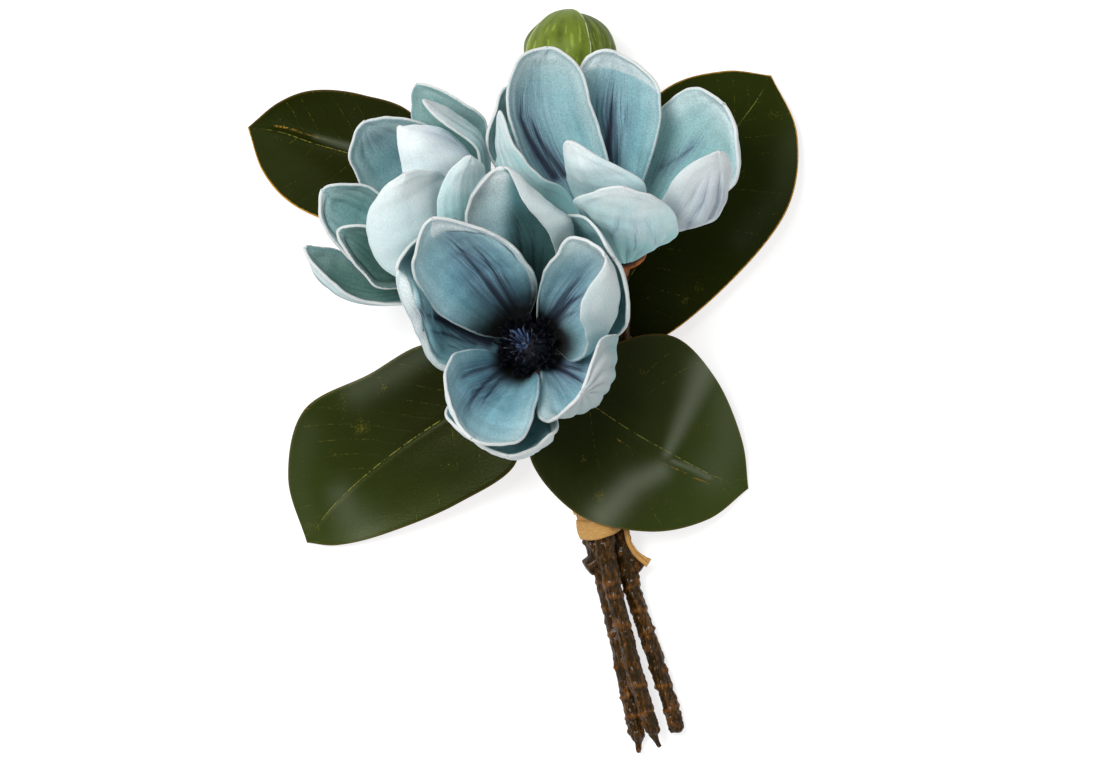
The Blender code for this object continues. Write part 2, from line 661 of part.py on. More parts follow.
def hull_point(level, angle, extra):
    """A point of the band round the three stems, in the direction of an angle."""
    ahead = Vector((math.cos(angle), math.sin(angle)))
    best = None
    for stem in STEMS:
        x, z, radius = stem_centre(stem, level)
        edge = Vector((x, z)) + ahead * (radius + extra)
        if best is None or edge.dot(ahead) > best.dot(ahead):
            best = edge
    return best


def build_tie(group, helpers):
    """The band wound round the stems, with its loose tail."""
    bm = bmesh.new()
    loops = []
    for level in TIE_SECTIONS:
        loop = []
        for index in range(TIE_ANGLES):
            angle = 2 * math.pi * (index + 0.5) / TIE_ANGLES
            slanted = level + TIE_SLANT * 10 * math.cos(angle)
            spot = hull_point(slanted, angle, TIE_CLEARANCE)
            loop.append(bm.verts.new((spot.x * MM, slanted * MM, spot.y * MM)))
        loops.append(loop)
    for low, high in zip(loops, loops[1:]):
        for index in range(TIE_ANGLES):
            after = (index + 1) % TIE_ANGLES
            bm.faces.new((low[index], low[after], high[after], high[index]))
    bmesh.ops.recalc_face_normals(bm, faces=bm.faces)
    bmesh.ops.triangulate(bm, faces=bm.faces)
    mesh = bpy.data.meshes.new("raffia_tie")
    bm.to_mesh(mesh)
    bm.free()
    band = link_mesh("raffia_tie", mesh, "tie", group)
    solid = band.modifiers.new("thickness", "SOLIDIFY")
    solid.thickness = TIE_THICKNESS * MM
    solid.offset = 1.0
    settle(band)
    return fuse(band, [build_tail(helpers)])


def build_tail(helpers):
    """The loose end of the band: a flat strip that widens to its cut end."""
    centre = [Vector(point) for point in TAIL_ROUTE]
    bm = bmesh.new()
    bmesh.ops.create_grid(bm, x_segments=2, y_segments=10, size=1.0)
    for vert in bm.verts:
        side = vert.co.x
        share = (vert.co.y + 1) / 2
        spot = along(centre, share)
        ahead = along(centre, min(share + 0.02, 1.0)) - along(centre, max(share - 0.02, 0.0))
        across = Vector((ahead.y, -ahead.x, 0)).normalized()
        width = along([Vector((value, 0, 0)) for value in TAIL_HALF_WIDTH], share).x
        vert.co = (spot + across * side * width) * MM
    mesh = bpy.data.meshes.new("tail")
    bm.to_mesh(mesh)
    bm.free()
    strip = bpy.data.objects.new("tail", mesh)
    helpers.objects.link(strip)
    solid = strip.modifiers.new("thickness", "SOLIDIFY")
    solid.thickness = TAIL_THICKNESS * MM
    solid.offset = 0.0
    return settle(strip)


def build_bud(group):
    """The closed green bud, ribbed lengthways, cut flat where it rests."""
    bm = bmesh.new()
    centre = Vector(BUD_CENTRE)
    rings = []
    start = -math.asin(BUD_BASE_CUT / BUD_BASE_LENGTH)
    for step in range(BUD_STEPS):
        turn = start + (math.pi / 2 - start) * step / BUD_STEPS
        level = math.sin(turn) * (BUD_BASE_LENGTH if turn < 0 else BUD_TOP_LENGTH)
        ring = []
        for side in range(BUD_SIDES):
            angle = 2 * math.pi * side / BUD_SIDES
            radius = math.cos(turn) * (BUD_RADIUS + BUD_RIB_HEIGHT * math.cos(BUD_RIBS * angle))
            spot = centre + Vector((radius * math.cos(angle), level, radius * math.sin(angle)))
            ring.append(bm.verts.new(spot * MM))
        rings.append(ring)
    for low, high in zip(rings, rings[1:]):
        for side in range(BUD_SIDES):
            after = (side + 1) % BUD_SIDES
            bm.faces.new((low[side], high[side], high[after], low[after]))
    bm.faces.new(rings[0])
    tip = bm.verts.new((centre + Vector((0, BUD_TOP_LENGTH, 0))) * MM)
    for side in range(BUD_SIDES):
        bm.faces.new((rings[-1][side], tip, rings[-1][(side + 1) % BUD_SIDES]))
    parts = bm.verts[:] + bm.edges[:] + bm.faces[:]
    bmesh.ops.bisect_plane(bm, geom=parts, plane_co=(0, 0, 0), plane_no=(0, 0, 1), clear_inner=True)
    bmesh.ops.holes_fill(bm, edges=[edge for edge in bm.edges if len(edge.link_faces) == 1], sides=0)
    mesh = bpy.data.meshes.new("bud")
    bm.to_mesh(mesh)
    bm.free()
    return settle(link_mesh("bud", mesh, "bud", group))


def main():
    """Build the whole bunch."""
    clear_scene()
    group = collection("magnolia_bunch")
    helpers = collection("helpers", hidden=True)
    for bloom in BLOOMS:
        build_bloom(bloom, group, helpers)
    for leaf in LEAVES:
        build_leaf(leaf, group, helpers)
    for stem in STEMS:
        build_stem(stem, group, helpers)
    build_bud(group)
    build_tie(group, helpers)


main()
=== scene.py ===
"""Looks of a tied bunch of three blue foam magnolia blooms with a bud, four leaves and bark stems.

The bunch lies on its back on a pale floor and the camera looks straight down on it. Places are millimetres in
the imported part's own frame and are turned into metres where the meshes are made.
"""

from __future__ import annotations

import logging
import math
import random
from collections.abc import Callable, Sequence
from dataclasses import dataclass, field
from enum import Enum
from functools import partial
from itertools import accumulate, pairwise
from typing import ClassVar

import bmesh
import bpy
from mathutils import Matrix, Vector, noise

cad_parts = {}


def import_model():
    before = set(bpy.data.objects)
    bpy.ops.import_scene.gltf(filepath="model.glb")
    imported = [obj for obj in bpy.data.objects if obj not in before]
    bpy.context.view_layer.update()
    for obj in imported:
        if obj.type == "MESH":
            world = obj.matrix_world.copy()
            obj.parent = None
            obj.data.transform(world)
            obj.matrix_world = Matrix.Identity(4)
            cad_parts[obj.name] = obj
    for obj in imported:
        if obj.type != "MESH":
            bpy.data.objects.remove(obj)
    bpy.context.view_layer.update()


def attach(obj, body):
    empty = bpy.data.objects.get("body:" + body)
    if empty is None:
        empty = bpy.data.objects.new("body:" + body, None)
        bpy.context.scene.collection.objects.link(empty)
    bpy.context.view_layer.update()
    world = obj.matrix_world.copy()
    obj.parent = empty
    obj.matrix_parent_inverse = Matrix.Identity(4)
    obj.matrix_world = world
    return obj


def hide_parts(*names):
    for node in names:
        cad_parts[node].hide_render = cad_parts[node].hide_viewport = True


LOG = logging.getLogger("magnolia_bunch")
MM = 0.001

Place = tuple[float, float, float]
Row = tuple[Place, ...]
Net = list[list[Vector]]
Colour = tuple[float, float, float]
Profile = tuple[tuple[float, float], ...]
Route = tuple[tuple[float, float, float, float], ...]
Marks = dict[str, float]
Piece = bpy.types.Object

# The receptacle is a cone with three rings of petal roots.
RING_HEIGHT = (4.0, 1.0, -1.5)
CONE_LOW = -2.0
CONE_TOP = 6.0
CONE_LOW_RADIUS = 12.0
CONE_TOP_RADIUS = 6.0
ROOT_HALF_WIDTH = 3.6
ROOT_GAP = 0.35
FOAM_THICKNESS = 1.8
PETAL_THICKNESS = 1.5
CUP_PROFILE = ((4.3, -13.0), (5.2, -9.5), (8.0, -6.0), (11.2, -3.4), (12.0, -2.0), (6.0, 6.0))
SWIRL_SHIFTS = ((14.3, 3.5, -3.0), (5.0, 5.0, 5.0), (-1.3, 5.2, 7.7))
# The distance that a point carries where no painted line is near.
FAR = 9.0


def smooth_step(value: float, low: float, high: float) -> float:
    """A soft step from 0 at low to 1 at high.

    Args:
        value: What is compared with the two limits.
        low: Where the step starts.
        high: Where the step ends.

    Returns:
        A number from 0 to 1.
    """
    share = min(max((value - low) / (high - low), 0.0), 1.0)
    return share * share * (3 - 2 * share)


def bell(value: float) -> float:
    """A soft bump of 1 at 0 that is almost gone at 2 on either side."""
    return math.exp(-value * value)


def window(value: float, rise: tuple[float, float], fall: tuple[float, float]) -> float:
    """A soft step up over the first pair of limits and down again over the second."""
    return smooth_step(value, *rise) * (1 - smooth_step(value, *fall))


def lumps(x: float, y: float, z: float) -> float:
    """Soft noise around 0 at a place."""
    return noise.noise(Vector((x, y, z)))


def reaches(points: Sequence[Vector]) -> list[float]:
    """How far each point of a line is from its first one, along the line."""
    return list(accumulate(((end - start).length for start, end in pairwise(points)), initial=0.0))


def along(points: Sequence[Vector], share: float, beyond: Vector | None = None) -> Vector:
    """A point of the smooth curve through all the points.

    Args:
        points: What the curve passes through.
        share: How far along the curve, from 0 to 1.
        beyond: Where it would go on after its last point, if not straight.

    Returns:
        The point on the curve.
    """
    spot = share * (len(points) - 1)
    index = min(int(spot), len(points) - 2)
    straight = points[-1] * 2 - points[-2]
    run = [points[0] * 2 - points[1], *points, straight if beyond is None else beyond]
    before, start, end, after = run[index:index + 4]
    part = spot - index
    bend = before * 2 - start * 5 + end * 4 - after
    twist = start * 3 - before - end * 3 + after
    return (start * 2 + (end - before) * part + bend * part ** 2 + twist * part ** 3) * 0.5


def blend_row(row: Sequence[Vector], share: float) -> Vector:
    """A point of the curve across a row of evenly spaced points.

    Args:
        row: The points of the row.
        share: How far across, from 0 to 1.

    Returns:
        The point on the curve.
    """
    last = len(row) - 1
    total = Vector((0.0, 0.0, 0.0))
    for index, value in enumerate(row):
        others = [other for other in range(last + 1) if other != index]
        total += value * math.prod((share * last - other) / (index - other) for other in others)
    return total


def net_row(net: Net, pointed: bool, share: float) -> list[Vector]:
    """The row of a net at a share of its length.

    Args:
        net: Rows of points from the root to the tip, the last all at the tip.
        pointed: Whether the tip is pointed, as a leaf's, and not blunt, as a petal's.
        share: How far along, from 0 at the root to 1 at the tip.

    Returns:
        As many points as the net has rails.
    """
    row = []
    for rail, points in enumerate(zip(*net)):
        # The two edges run on into each other round a blunt tip.
        turn = 0.0 if pointed else abs(2 * rail / (len(net[0]) - 1) - 1)
        straight = points[-1] * 2 - points[-2]
        row.append(along(points, share, net[-2][-1 - rail] * turn + straight * (1 - turn)))
    return row


def swirl(place: Vector) -> Vector:
    """Soft noise in each of the three directions, the same on every run."""
    return Vector([noise.noise(place + Vector(shift)) for shift in SWIRL_SHIFTS])


def uneven(point: Vector, reach: float) -> Vector:
    """A point in millimetres moved by a slow and a fine swirl, up to the reach from 0 to 1."""
    return point + swirl(point * 0.085) * (1.1 * reach) + swirl(point * 0.19) * (0.30 * reach)


class Value:
    """A shader node's output that arithmetic signs add nodes to."""

    def __init__(self, bench: Bench, socket: bpy.types.NodeSocket) -> None:
        """Hold the output and the bench that it is on."""
        self.bench = bench
        self.socket = socket

    def __add__(self, other: object) -> Value:
        """The sum."""
        return self.bench.math("ADD", self, other)

    def __sub__(self, other: object) -> Value:
        """The difference."""
        return self.bench.math("SUBTRACT", self, other)

    def __rsub__(self, other: object) -> Value:
        """A plain number less this."""
        return self.bench.math("SUBTRACT", other, self)

    def __mul__(self, other: object) -> Value:
        """The product."""
        return self.bench.math("MULTIPLY", self, other)

    def __truediv__(self, other: object) -> Value:
        """The quotient."""
        return self.bench.math("DIVIDE", self, other)

    def __abs__(self) -> Value:
        """The size without its sign."""
        return self.bench.math("ABSOLUTE", self)

    def clamped(self) -> Value:
        """The same result kept from 0 to 1."""
        self.socket.node.use_clamp = True
        return self

    def output(self, name: str) -> Value:
        """Another output of the same node."""
        return Value(self.bench, self.socket.node.outputs[name])

    def step(self, low: float, high: float) -> Value:
        """A soft step from 0 at low to 1 at high, or down where high is the lower one.

        Args:
            low: Where the result is 0.
            high: Where the result is 1.

        Returns:
            The step, from 0 to 1.
        """
        down = float(high < low)
        limits = {"From Min": min(low, high), "From Max": max(low, high), "To Min": down, "To Max": 1 - down}
        inputs = {"Value": self, **limits}
        return self.bench.node("ShaderNodeMapRange", "Result", inputs, interpolation_type="SMOOTHSTEP")


class Bench:
    """Adds shader nodes to one tree and joins them."""

    def __init__(self, tree: bpy.types.NodeTree) -> None:
        """Start work on a tree."""
        self.tree = tree

    def feed(self, target: bpy.types.NodeSocket, value: object) -> None:
        """Join an output to an input, or give the input a plain value.

        Args:
            target: The input.
            value: An output, a number, a colour or a vector.
        """
        if isinstance(value, Value):
            self.tree.links.new(value.socket, target)
        elif target.type == "RGBA":
            target.default_value = (*value, 1.0)
        else:
            target.default_value = value

    def node(self, kind: str, output: str | int, inputs: dict, **settings: object) -> Value:
        """Add a node.

        Args:
            kind: The node's type.
            output: Which of its outputs is wanted.
            inputs: What goes into its inputs, by their names or numbers.
            settings: Names and values of its own options.

        Returns:
            The wanted output.
        """
        made = self.tree.nodes.new(kind)
        for name, value in settings.items():
            setattr(made, name, value)
        for name, value in inputs.items():
            self.feed(made.inputs[name], value)
        return Value(self, made.outputs[output])

    def math(self, operation: str, first: object, second: object = 0.0) -> Value:
        """One arithmetic step on one or two values."""
        return self.node("ShaderNodeMath", 0, {0: first, 1: second}, operation=operation)

    def mark(self, name: str) -> Value:
        """The value that the mesh carries at each point under a name."""
        return self.node("ShaderNodeAttribute", "Fac", {}, attribute_name=name)

    def place(self) -> Value:
        """The point's place in the object's own space."""
        return self.node("ShaderNodeTexCoord", "Object", {})

    def vector(self, x: object, y: object, z: object) -> Value:
        """A vector from three values."""
        return self.node("ShaderNodeCombineXYZ", 0, {0: x, 1: y, 2: z})

    def cloud(self, place: Value, scale: object, detail: float, rough: float = 0.5) -> Value:
        """Soft noise around 0.5.

        Args:
            place: The place that the noise is read at.
            scale: How fine it is.
            detail: How many finer layers it has.
            rough: How strong the finer layers are.

        Returns:
            The noise's value.
        """
        inputs = {"Vector": place, "Scale": scale, "Detail": detail, "Roughness": rough}
        return self.node("ShaderNodeTexNoise", "Fac", inputs)

    def bump(self, height: Value, strength: float, depth: float) -> Value:
        """A normal that follows a height, whose 1 is so many metres, as strongly as is said."""
        inputs = {"Strength": strength, "Distance": depth, "Height": height}
        return self.node("ShaderNodeBump", "Normal", inputs)

    def mix(self, share: object, first: object, second: object, way: str = "MIX") -> Value:
        """A share of the second colour over the first."""
        inputs = {0: share, 6: first, 7: second}
        return self.node("ShaderNodeMix", 2, inputs, data_type="RGBA", blend_type=way)

    def painted(self, ground: object, *coats: tuple) -> Value:
        """A ground colour under coats of paint.

        Args:
            ground: The lowest colour.
            coats: A share and a colour each, and the way of mixing if it isn't the plain one.

        Returns:
            The colour that shows.
        """
        for share, colour, *way in coats:
            ground = self.mix(share, ground, colour, *way)
        return ground

    def speckled(self, body: Value, grain: Value, strength: object) -> Value:
        """A colour with the light and dark dots of the foam's cells."""
        light = (grain - 0.5) * strength + 1.0
        return self.mix(1.0, body, self.vector(light, light, light), "MULTIPLY")

    def use(self, group: bpy.types.NodeTree, output: str, **values: object) -> Value:
        """Place a node group with its own values and take one of its outputs."""
        return self.node("ShaderNodeGroup", output, values, node_tree=group)


class Effects:
    """The node groups that several finishes share, each built once."""

    def __init__(self) -> None:
        """Build every group, with the standard values of its inputs."""
        self.grain = self.group("foam_grain", self.draw_grain, Fineness=1400.0)
        self.fibres = self.group("long_fibres", self.draw_fibres,
                                 Along=0.0, Across=0.0, Seed=0.0, Density=30.0, Length=3.0)
        self.specks = self.group("paint_specks", self.draw_specks, Fineness=900.0, Amount=0.3)
        self.rim = self.group("cut_rim", self.draw_rim, Edge=5.0, Width=1.0)

    @staticmethod
    def group(name: str, draw: Callable[..., dict[str, Value]], **inputs: float) -> bpy.types.NodeTree:
        """Build one group.

        Args:
            name: The group's name.
            draw: Turns a bench and the group's inputs into its outputs by name.
            inputs: The names and standard values of its inputs.

        Returns:
            The group.
        """
        tree = bpy.data.node_groups.new(name, "ShaderNodeTree")
        for socket, value in inputs.items():
            made = tree.interface.new_socket(name=socket, in_out="INPUT", socket_type="NodeSocketFloat")
            made.default_value = value
        bench = Bench(tree)
        source = tree.nodes.new("NodeGroupInput")
        drawn = draw(bench, *(Value(bench, source.outputs[socket]) for socket in inputs))
        for socket in drawn:
            tree.interface.new_socket(name=socket, in_out="OUTPUT", socket_type="NodeSocketFloat")
        result = tree.nodes.new("NodeGroupOutput")
        for socket, value in drawn.items():
            bench.feed(result.inputs[socket], value)
        return tree

    @staticmethod
    def draw_grain(bench: Bench, fineness: Value) -> dict[str, Value]:
        """The fine closed cells of pressed foam and the slow mottle of its paint."""
        slow = bench.cloud(bench.place(), fineness * 0.06, 4.0, 0.6)
        return {"Grain": bench.cloud(bench.place(), fineness, 2.0, 0.7), "Mottle": slow}

    @staticmethod
    def draw_fibres(bench: Bench, run: Value, side: Value, seed: Value, density: Value,
                    length: Value) -> dict[str, Value]:
        """Long thin streaks that follow a strip from its root to its end."""
        return {"Value": bench.cloud(bench.vector(side * density, run * length, seed), 1.0, 3.0, 0.6)}

    @staticmethod
    def draw_specks(bench: Bench, fineness: Value, amount: Value) -> dict[str, Value]:
        """Scattered small flecks, as of dry brushed paint.

        Args:
            bench: The group's bench.
            fineness: How small they are.
            amount: How many there are, from 0 to 1.

        Returns:
            The mask of the flecks.
        """
        place = bench.place()
        both = bench.cloud(place, fineness, 2.0, 0.6) * bench.cloud(place, fineness * 0.05, 2.0, 0.5)
        return {"Mask": ((both - (0.5 - amount * 0.3)) * 14.0).clamped()}

    @staticmethod
    def draw_rim(bench: Bench, edge: Value, width: Value) -> dict[str, Value]:
        """How near a point is to the cut rim, broken up a little by the foam's cells."""
        shift = (bench.cloud(bench.place(), 700.0, 2.0, 0.6) - 0.5) * 0.9
        return {"Mask": ((edge + shift) / width).step(1.0, 0.35)}


@dataclass(frozen=True)
class Finish:
    """What a piece is dressed in: each kind says what goes into its shader's sockets."""

    slot: ClassVar[str] = ""

    def drawn(self, bench: Bench, effects: Effects) -> dict[str, object]:
        """What goes into the shader's sockets, by their names."""
        raise NotImplementedError

    def material(self, effects: Effects) -> bpy.types.Material:
        """Build the material under the name of its slot.

        Args:
            effects: The shared node groups.

        Returns:
            The material.
        """
        made = bpy.data.materials.new(self.slot)
        made.use_nodes = True
        bench = Bench(made.node_tree)
        for socket, value in self.drawn(bench, effects).items():
            bench.feed(made.node_tree.nodes["Principled BSDF"].inputs[socket], value)
        return made


@dataclass(frozen=True)
class PetalFinish(Finish):
    """Air-brushed foam: teal inside with dark streaks, pale outside, and an off-white cut rim."""

    slot: ClassVar[str] = "petal_foam"
    deep: Colour = (0.092, 0.240, 0.292)
    teal: Colour = (0.190, 0.445, 0.530)
    green: Colour = (0.175, 0.390, 0.350)
    light: Colour = (0.560, 0.690, 0.700)
    slate: Colour = (0.100, 0.148, 0.225)
    navy: Colour = (0.019, 0.022, 0.044)
    dark: Colour = (0.0025, 0.0028, 0.0018)
    outside: Colour = (0.840, 0.900, 0.912)
    outside_teal: Colour = (0.400, 0.750, 0.765)
    violet: Colour = (0.270, 0.345, 0.500)
    rim: Colour = (0.660, 0.670, 0.655)
    shade_colour: Colour = (0.225, 0.255, 0.215)

    def drawn(self, bench: Bench, effects: Effects) -> dict[str, object]:
        """Paint both faces; what differs between petals is carried by their meshes.

        Args:
            bench: The material's bench.
            effects: The shared node groups.

        Returns:
            What goes into the shader's sockets.
        """
        strip = {name.capitalize(): bench.mark(name) for name in ("along", "across", "seed")}
        run = strip["Along"]
        edge = bench.mark("edge")
        grain = bench.use(effects.grain, "Grain", Fineness=1300.0)
        mottle = grain.output("Mottle") - 0.5
        brushed = bench.use(effects.fibres, "Value", **strip, Density=9.0, Length=1.6).step(0.42, 0.68)
        fine = bench.use(effects.fibres, "Value", **strip, Density=34.0, Length=4.0)
        zone = (bench.mark("glow") * (fine.step(0.33, 0.67) + 0.40)).clamped()
        line = (bench.mark("streak") + (fine - 0.5) * 0.75).step(0.20, 0.98)
        inner = bench.painted(
            self.deep,
            ((run * 0.9 + mottle * 0.8).step(0.0, 0.50), self.teal),
            (bench.mark("green"), self.green),
            ((bench.mark("pale") + mottle * 0.5).clamped(), self.light),
            # The highest pale marks, from pale paint and from painted highlights, go on towards the outside
            # colour.
            (bench.mark("pale").step(1.10, 1.70) * 0.6, self.outside),
            # Painted shade: dark fibre lines in the fine lengthwise folds, fading from the root to the tip.
            (brushed * run.step(0.80, 0.20) * 0.30, self.deep),
            (zone * 0.9, self.slate),
            (line * 0.92, self.navy),
            # Painted shade: the shade mark darkens the inner face with the shade colour, most towards the
            # root.
            (bench.mark("shade") * run.step(1.30, 0.50), self.shade_colour, "MULTIPLY"),
            # Painted shade: a thin dark line just inside the cut rim, as the shadow beside the rim.
            (edge.step(0.50, 0.80) * edge.step(2.30, 1.00) * 0.30, self.deep),
            ((bench.mark("base") + mottle * 0.4).step(0.10, 0.90), self.dark))
        outer = bench.painted(
            self.outside,
            ((run + mottle * 0.7).step(1.10, 0.30) * bench.mark("outer_teal"), self.outside_teal),
            (brushed * 0.08, self.outside_teal),
            (bench.mark("violet") * run.step(1.1, 0.3) * (brushed * 0.5 + 0.15), self.violet),
            (zone * 0.55, self.violet),
            (line * 0.75, self.slate),
            # Painted shade on the outer face, towards the dark colour as the outer shade mark says.
            (bench.mark("dim"), self.dark))
        inside = bench.mark("inside").step(0.35, 0.65)
        body = bench.speckled(bench.mix(inside, outer, inner), grain, inside * 0.55 + 0.38)
        cut = bench.use(effects.rim, "Mask", Edge=edge, Width=0.46) * (run.step(0.15, 0.55) + 0.30)
        return {"Base Color": bench.mix(cut * 0.66, body, self.rim), "Roughness": grain * 0.22 + 0.52,
                "Normal": bench.bump(grain + fine * 0.45, 0.45, 0.0004), "Specular IOR Level": 0.22}


@dataclass(frozen=True)
class LeafFinish(Finish):
    """Glossy dark foam leaf with brushed veins, flecks, a golden rim, painted highlights and painted shade;
    rusty beneath.
    """

    slot: ClassVar[str] = "leaf_foam"
    dark: Colour = (0.0085, 0.0105, 0.0008)
    green: Colour = (0.0290, 0.0440, 0.0060)
    # Colour of the painted highlights of the glossy surface.
    haze: Colour = (0.1500, 0.1700, 0.1150)
    fleck: Colour = (0.1700, 0.1450, 0.0160)
    rib: Colour = (0.3000, 0.2800, 0.0500)
    gold: Colour = (0.5200, 0.2700, 0.0400)
    rust: Colour = (0.1200, 0.0500, 0.0180)
    vein_gap: float = 9.5
    gloss: float = 0.15

    def drawn(self, bench: Bench, effects: Effects) -> dict[str, object]:
        """Paint the upper face with its lines and flecks over the rusty one.

        Args:
            bench: The material's bench.
            effects: The shared node groups.

        Returns:
            What goes into the shader's sockets.
        """
        place = bench.place()
        slow = bench.cloud(place, 18.0, 3.0, 0.5)
        grain = bench.use(effects.grain, "Grain", Fineness=1100.0)
        specks = bench.use(effects.specks, "Mask", Fineness=1900.0, Amount=bench.mark("fleck") * 0.36 + 0.22)
        bend = (bench.cloud(place, 30.0, 2.0) - 0.5) * 9.0
        wave = abs(bench.math("FRACT", (bench.mark("vein") + bend) / self.vein_gap) - 0.5)
        broken = bench.cloud(place, 800.0, 2.0, 0.6).step(0.50, 0.60)
        patchy = bench.cloud(place, 60.0, 2.0, 0.5).step(0.44, 0.62)
        dots = bench.cloud(place, 620.0, 2.0, 0.7).step(0.40, 0.58)
        rim = bench.use(effects.rim, "Mask", Edge=bench.mark("edge"), Width=0.9)
        top = bench.painted(
            self.dark,
            # Painted shade: the green fades to near black towards the stalk and on leaves with a low light,
            # over a slow random tone.
            ((bench.mark("run") * 0.010 + slow * 0.8).step(0.50, 1.45) * bench.mark("light"), self.green),
            # Painted highlight: the haze mark lays soft sheen bands on the upper face.
            (bench.mark("haze") * 0.75, self.haze),
            (wave.step(0.028, 0.0) * broken * patchy * 0.60, self.fleck),
            (specks * 0.55, self.fleck),
            (bench.mark("rib").step(0.30, 0.04) * bench.mark("midrib") * dots * 0.75, self.rib),
            (bench.mark("second").step(0.50, 0.10) * dots * 0.6, self.gold),
            (rim * bench.mark("gold"), self.gold))
        height = wave.step(0.10, 0.0) * -0.35 + grain + bench.cloud(place, 60.0, 3.0) * 2.0
        return {"Base Color": bench.mix(bench.mark("inside").step(0.02, 0.30), self.rust, top),
                "Roughness": slow * 0.22 + 0.26, "Normal": bench.bump(height, 0.3, 0.0004),
                "Specular IOR Level": self.gloss, "Specular Tint": (0.80, 0.92, 0.45)}


@dataclass(frozen=True)
class BarkFinish(Finish):
    """Glossy dark bark with orange brown wear on the ridges and a few grey scars."""

    slot: ClassVar[str] = "stem_bark"
    dark: Colour = (0.0200, 0.0105, 0.0016)
    brown: Colour = (0.1000, 0.0390, 0.0060)
    orange: Colour = (0.2300, 0.0800, 0.0105)
    grey: Colour = (0.2400, 0.2100, 0.1600)

    def drawn(self, bench: Bench, effects: Effects) -> dict[str, object]:
        """Wear the bark down to its lighter colours where it stands out.

        Args:
            bench: The material's bench.
            effects: The shared node groups.

        Returns:
            What goes into the shader's sockets.
        """
        place = bench.place()
        height = bench.mark("height")
        slow = bench.cloud(place, 190.0, 4.0, 0.7)
        lengthways = bench.node("ShaderNodeMapping", 0, {"Vector": place, "Scale": (1.0, 0.22, 1.0)})
        fine = bench.cloud(lengthways, 1300.0, 4.0, 0.7)
        scars = bench.use(effects.specks, "Mask", Fineness=800.0, Amount=0.45)
        body = bench.painted(
            self.dark,
            ((height * 0.55 + fine * 0.8).step(0.54, 0.94), self.brown),
            (slow.step(0.44, 0.60) * fine.step(0.46, 0.62) * 0.55, self.orange),
            (bench.mark("ring") * fine.step(0.35, 0.6) * 0.5, self.orange),
            (scars * height.step(0.6, 1.0) * 0.4, self.grey))
        return {"Base Color": body, "Roughness": fine * 0.34 + 0.20,
                "Normal": bench.bump(fine + slow, 0.9, 0.0009),
                "Specular IOR Level": 0.12, "Specular Tint": (1.0, 0.75, 0.45),
                "Coat Weight": 0.25, "Coat Roughness": 0.10}


@dataclass(frozen=True)
class BudFinish(Finish):
    """Green foam sepals with painted shade between their folds and painted highlights on them, darker to one
    side, with pale cut edges.
    """

    slot: ClassVar[str] = "bud_foam"
    shade: Colour = (0.060, 0.085, 0.008)
    green: Colour = (0.130, 0.183, 0.017)
    bright: Colour = (0.250, 0.310, 0.050)
    edge: Colour = (0.560, 0.600, 0.380)

    def drawn(self, bench: Bench, effects: Effects) -> dict[str, object]:
        """Paint the folds' painted shade and highlights and the broken lines of the cut edges.

        Args:
            bench: The material's bench.
            effects: The shared node groups.

        Returns:
            What goes into the shader's sockets.
        """
        grain = bench.use(effects.grain, "Grain", Fineness=1200.0)
        tone = bench.mark("fold") + (grain.output("Mottle") - 0.5) * 0.9
        broken = bench.cloud(bench.place(), 160.0, 2.0).step(0.36, 0.52)
        body = bench.painted(
            self.shade,
            (tone.step(0.05, 0.65), self.green),
            # Painted highlights on the fold crests and in the pale strokes.
            (tone.step(0.62, 1.15) * 0.75, self.bright),
            (bench.mark("seam").step(0.75, 0.25) * broken * 0.85, self.edge))
        return {"Base Color": bench.speckled(body, grain, 0.5), "Roughness": 0.5,
                "Normal": bench.bump(grain, 0.4, 0.0004),
                "Specular IOR Level": 0.28, "Specular Tint": (0.9, 1.0, 0.6)}


@dataclass(frozen=True)
class RaffiaFinish(Finish):
    """Dry tan fibre in strips that lie side by side."""

    slot: ClassVar[str] = "tie_raffia"
    tan: Colour = (0.500, 0.262, 0.066)
    pale: Colour = (0.620, 0.365, 0.120)
    brown: Colour = (0.290, 0.115, 0.020)

    def drawn(self, bench: Bench, effects: Effects) -> dict[str, object]:
        """Draw the fibres and darken the creases and the strips' edges.

        Args:
            bench: The material's bench.
            effects: The shared node groups.

        Returns:
            What goes into the shader's sockets.
        """
        strip = {name.capitalize(): bench.mark(name) for name in ("along", "across", "seed")}
        thick = bench.use(effects.fibres, "Value", **strip, Density=9.0, Length=2.0)
        thin = bench.use(effects.fibres, "Value", **strip, Density=26.0, Length=5.0)
        grain = bench.use(effects.grain, "Grain", Fineness=900.0)
        body = bench.painted(
            self.tan,
            (thick.step(0.36, 0.66), self.pale),
            (thin.step(0.42, 0.30) * 0.6, self.brown),
            (abs(strip["Across"]).step(0.82, 1.0) * 0.35, self.brown))
        return {"Base Color": body, "Roughness": 0.7, "Specular IOR Level": 0.25,
                "Normal": bench.bump(thin + grain * 0.4, 0.6, 0.0004)}


@dataclass(frozen=True)
class StamenFinish(Finish):
    """Glossy near-black plastic, steel blue on the middle threads."""

    slot: ClassVar[str] = "stamen_plastic"
    black: Colour = (0.0016, 0.0016, 0.0030)
    violet: Colour = (0.0062, 0.0055, 0.0085)
    steel: Colour = (0.0550, 0.0900, 0.1900)

    def drawn(self, bench: Bench, effects: Effects) -> dict[str, object]:
        """Tint the threads as their meshes say.

        Args:
            bench: The material's bench.
            effects: The shared node groups.

        Returns:
            What goes into the shader's sockets.
        """
        grain = bench.use(effects.grain, "Grain", Fineness=1600.0)
        tint = bench.mark("tint") + grain.output("Mottle") * 0.4
        body = bench.painted(
            self.black,
            (tint.step(0.0, 0.5), self.violet),
            (tint.step(0.7, 1.5), self.steel))
        return {"Base Color": body, "Roughness": 0.33, "Normal": bench.bump(grain, 0.4, 0.0002),
                "Specular IOR Level": 0.35, "Specular Tint": (0.80, 0.76, 0.92)}


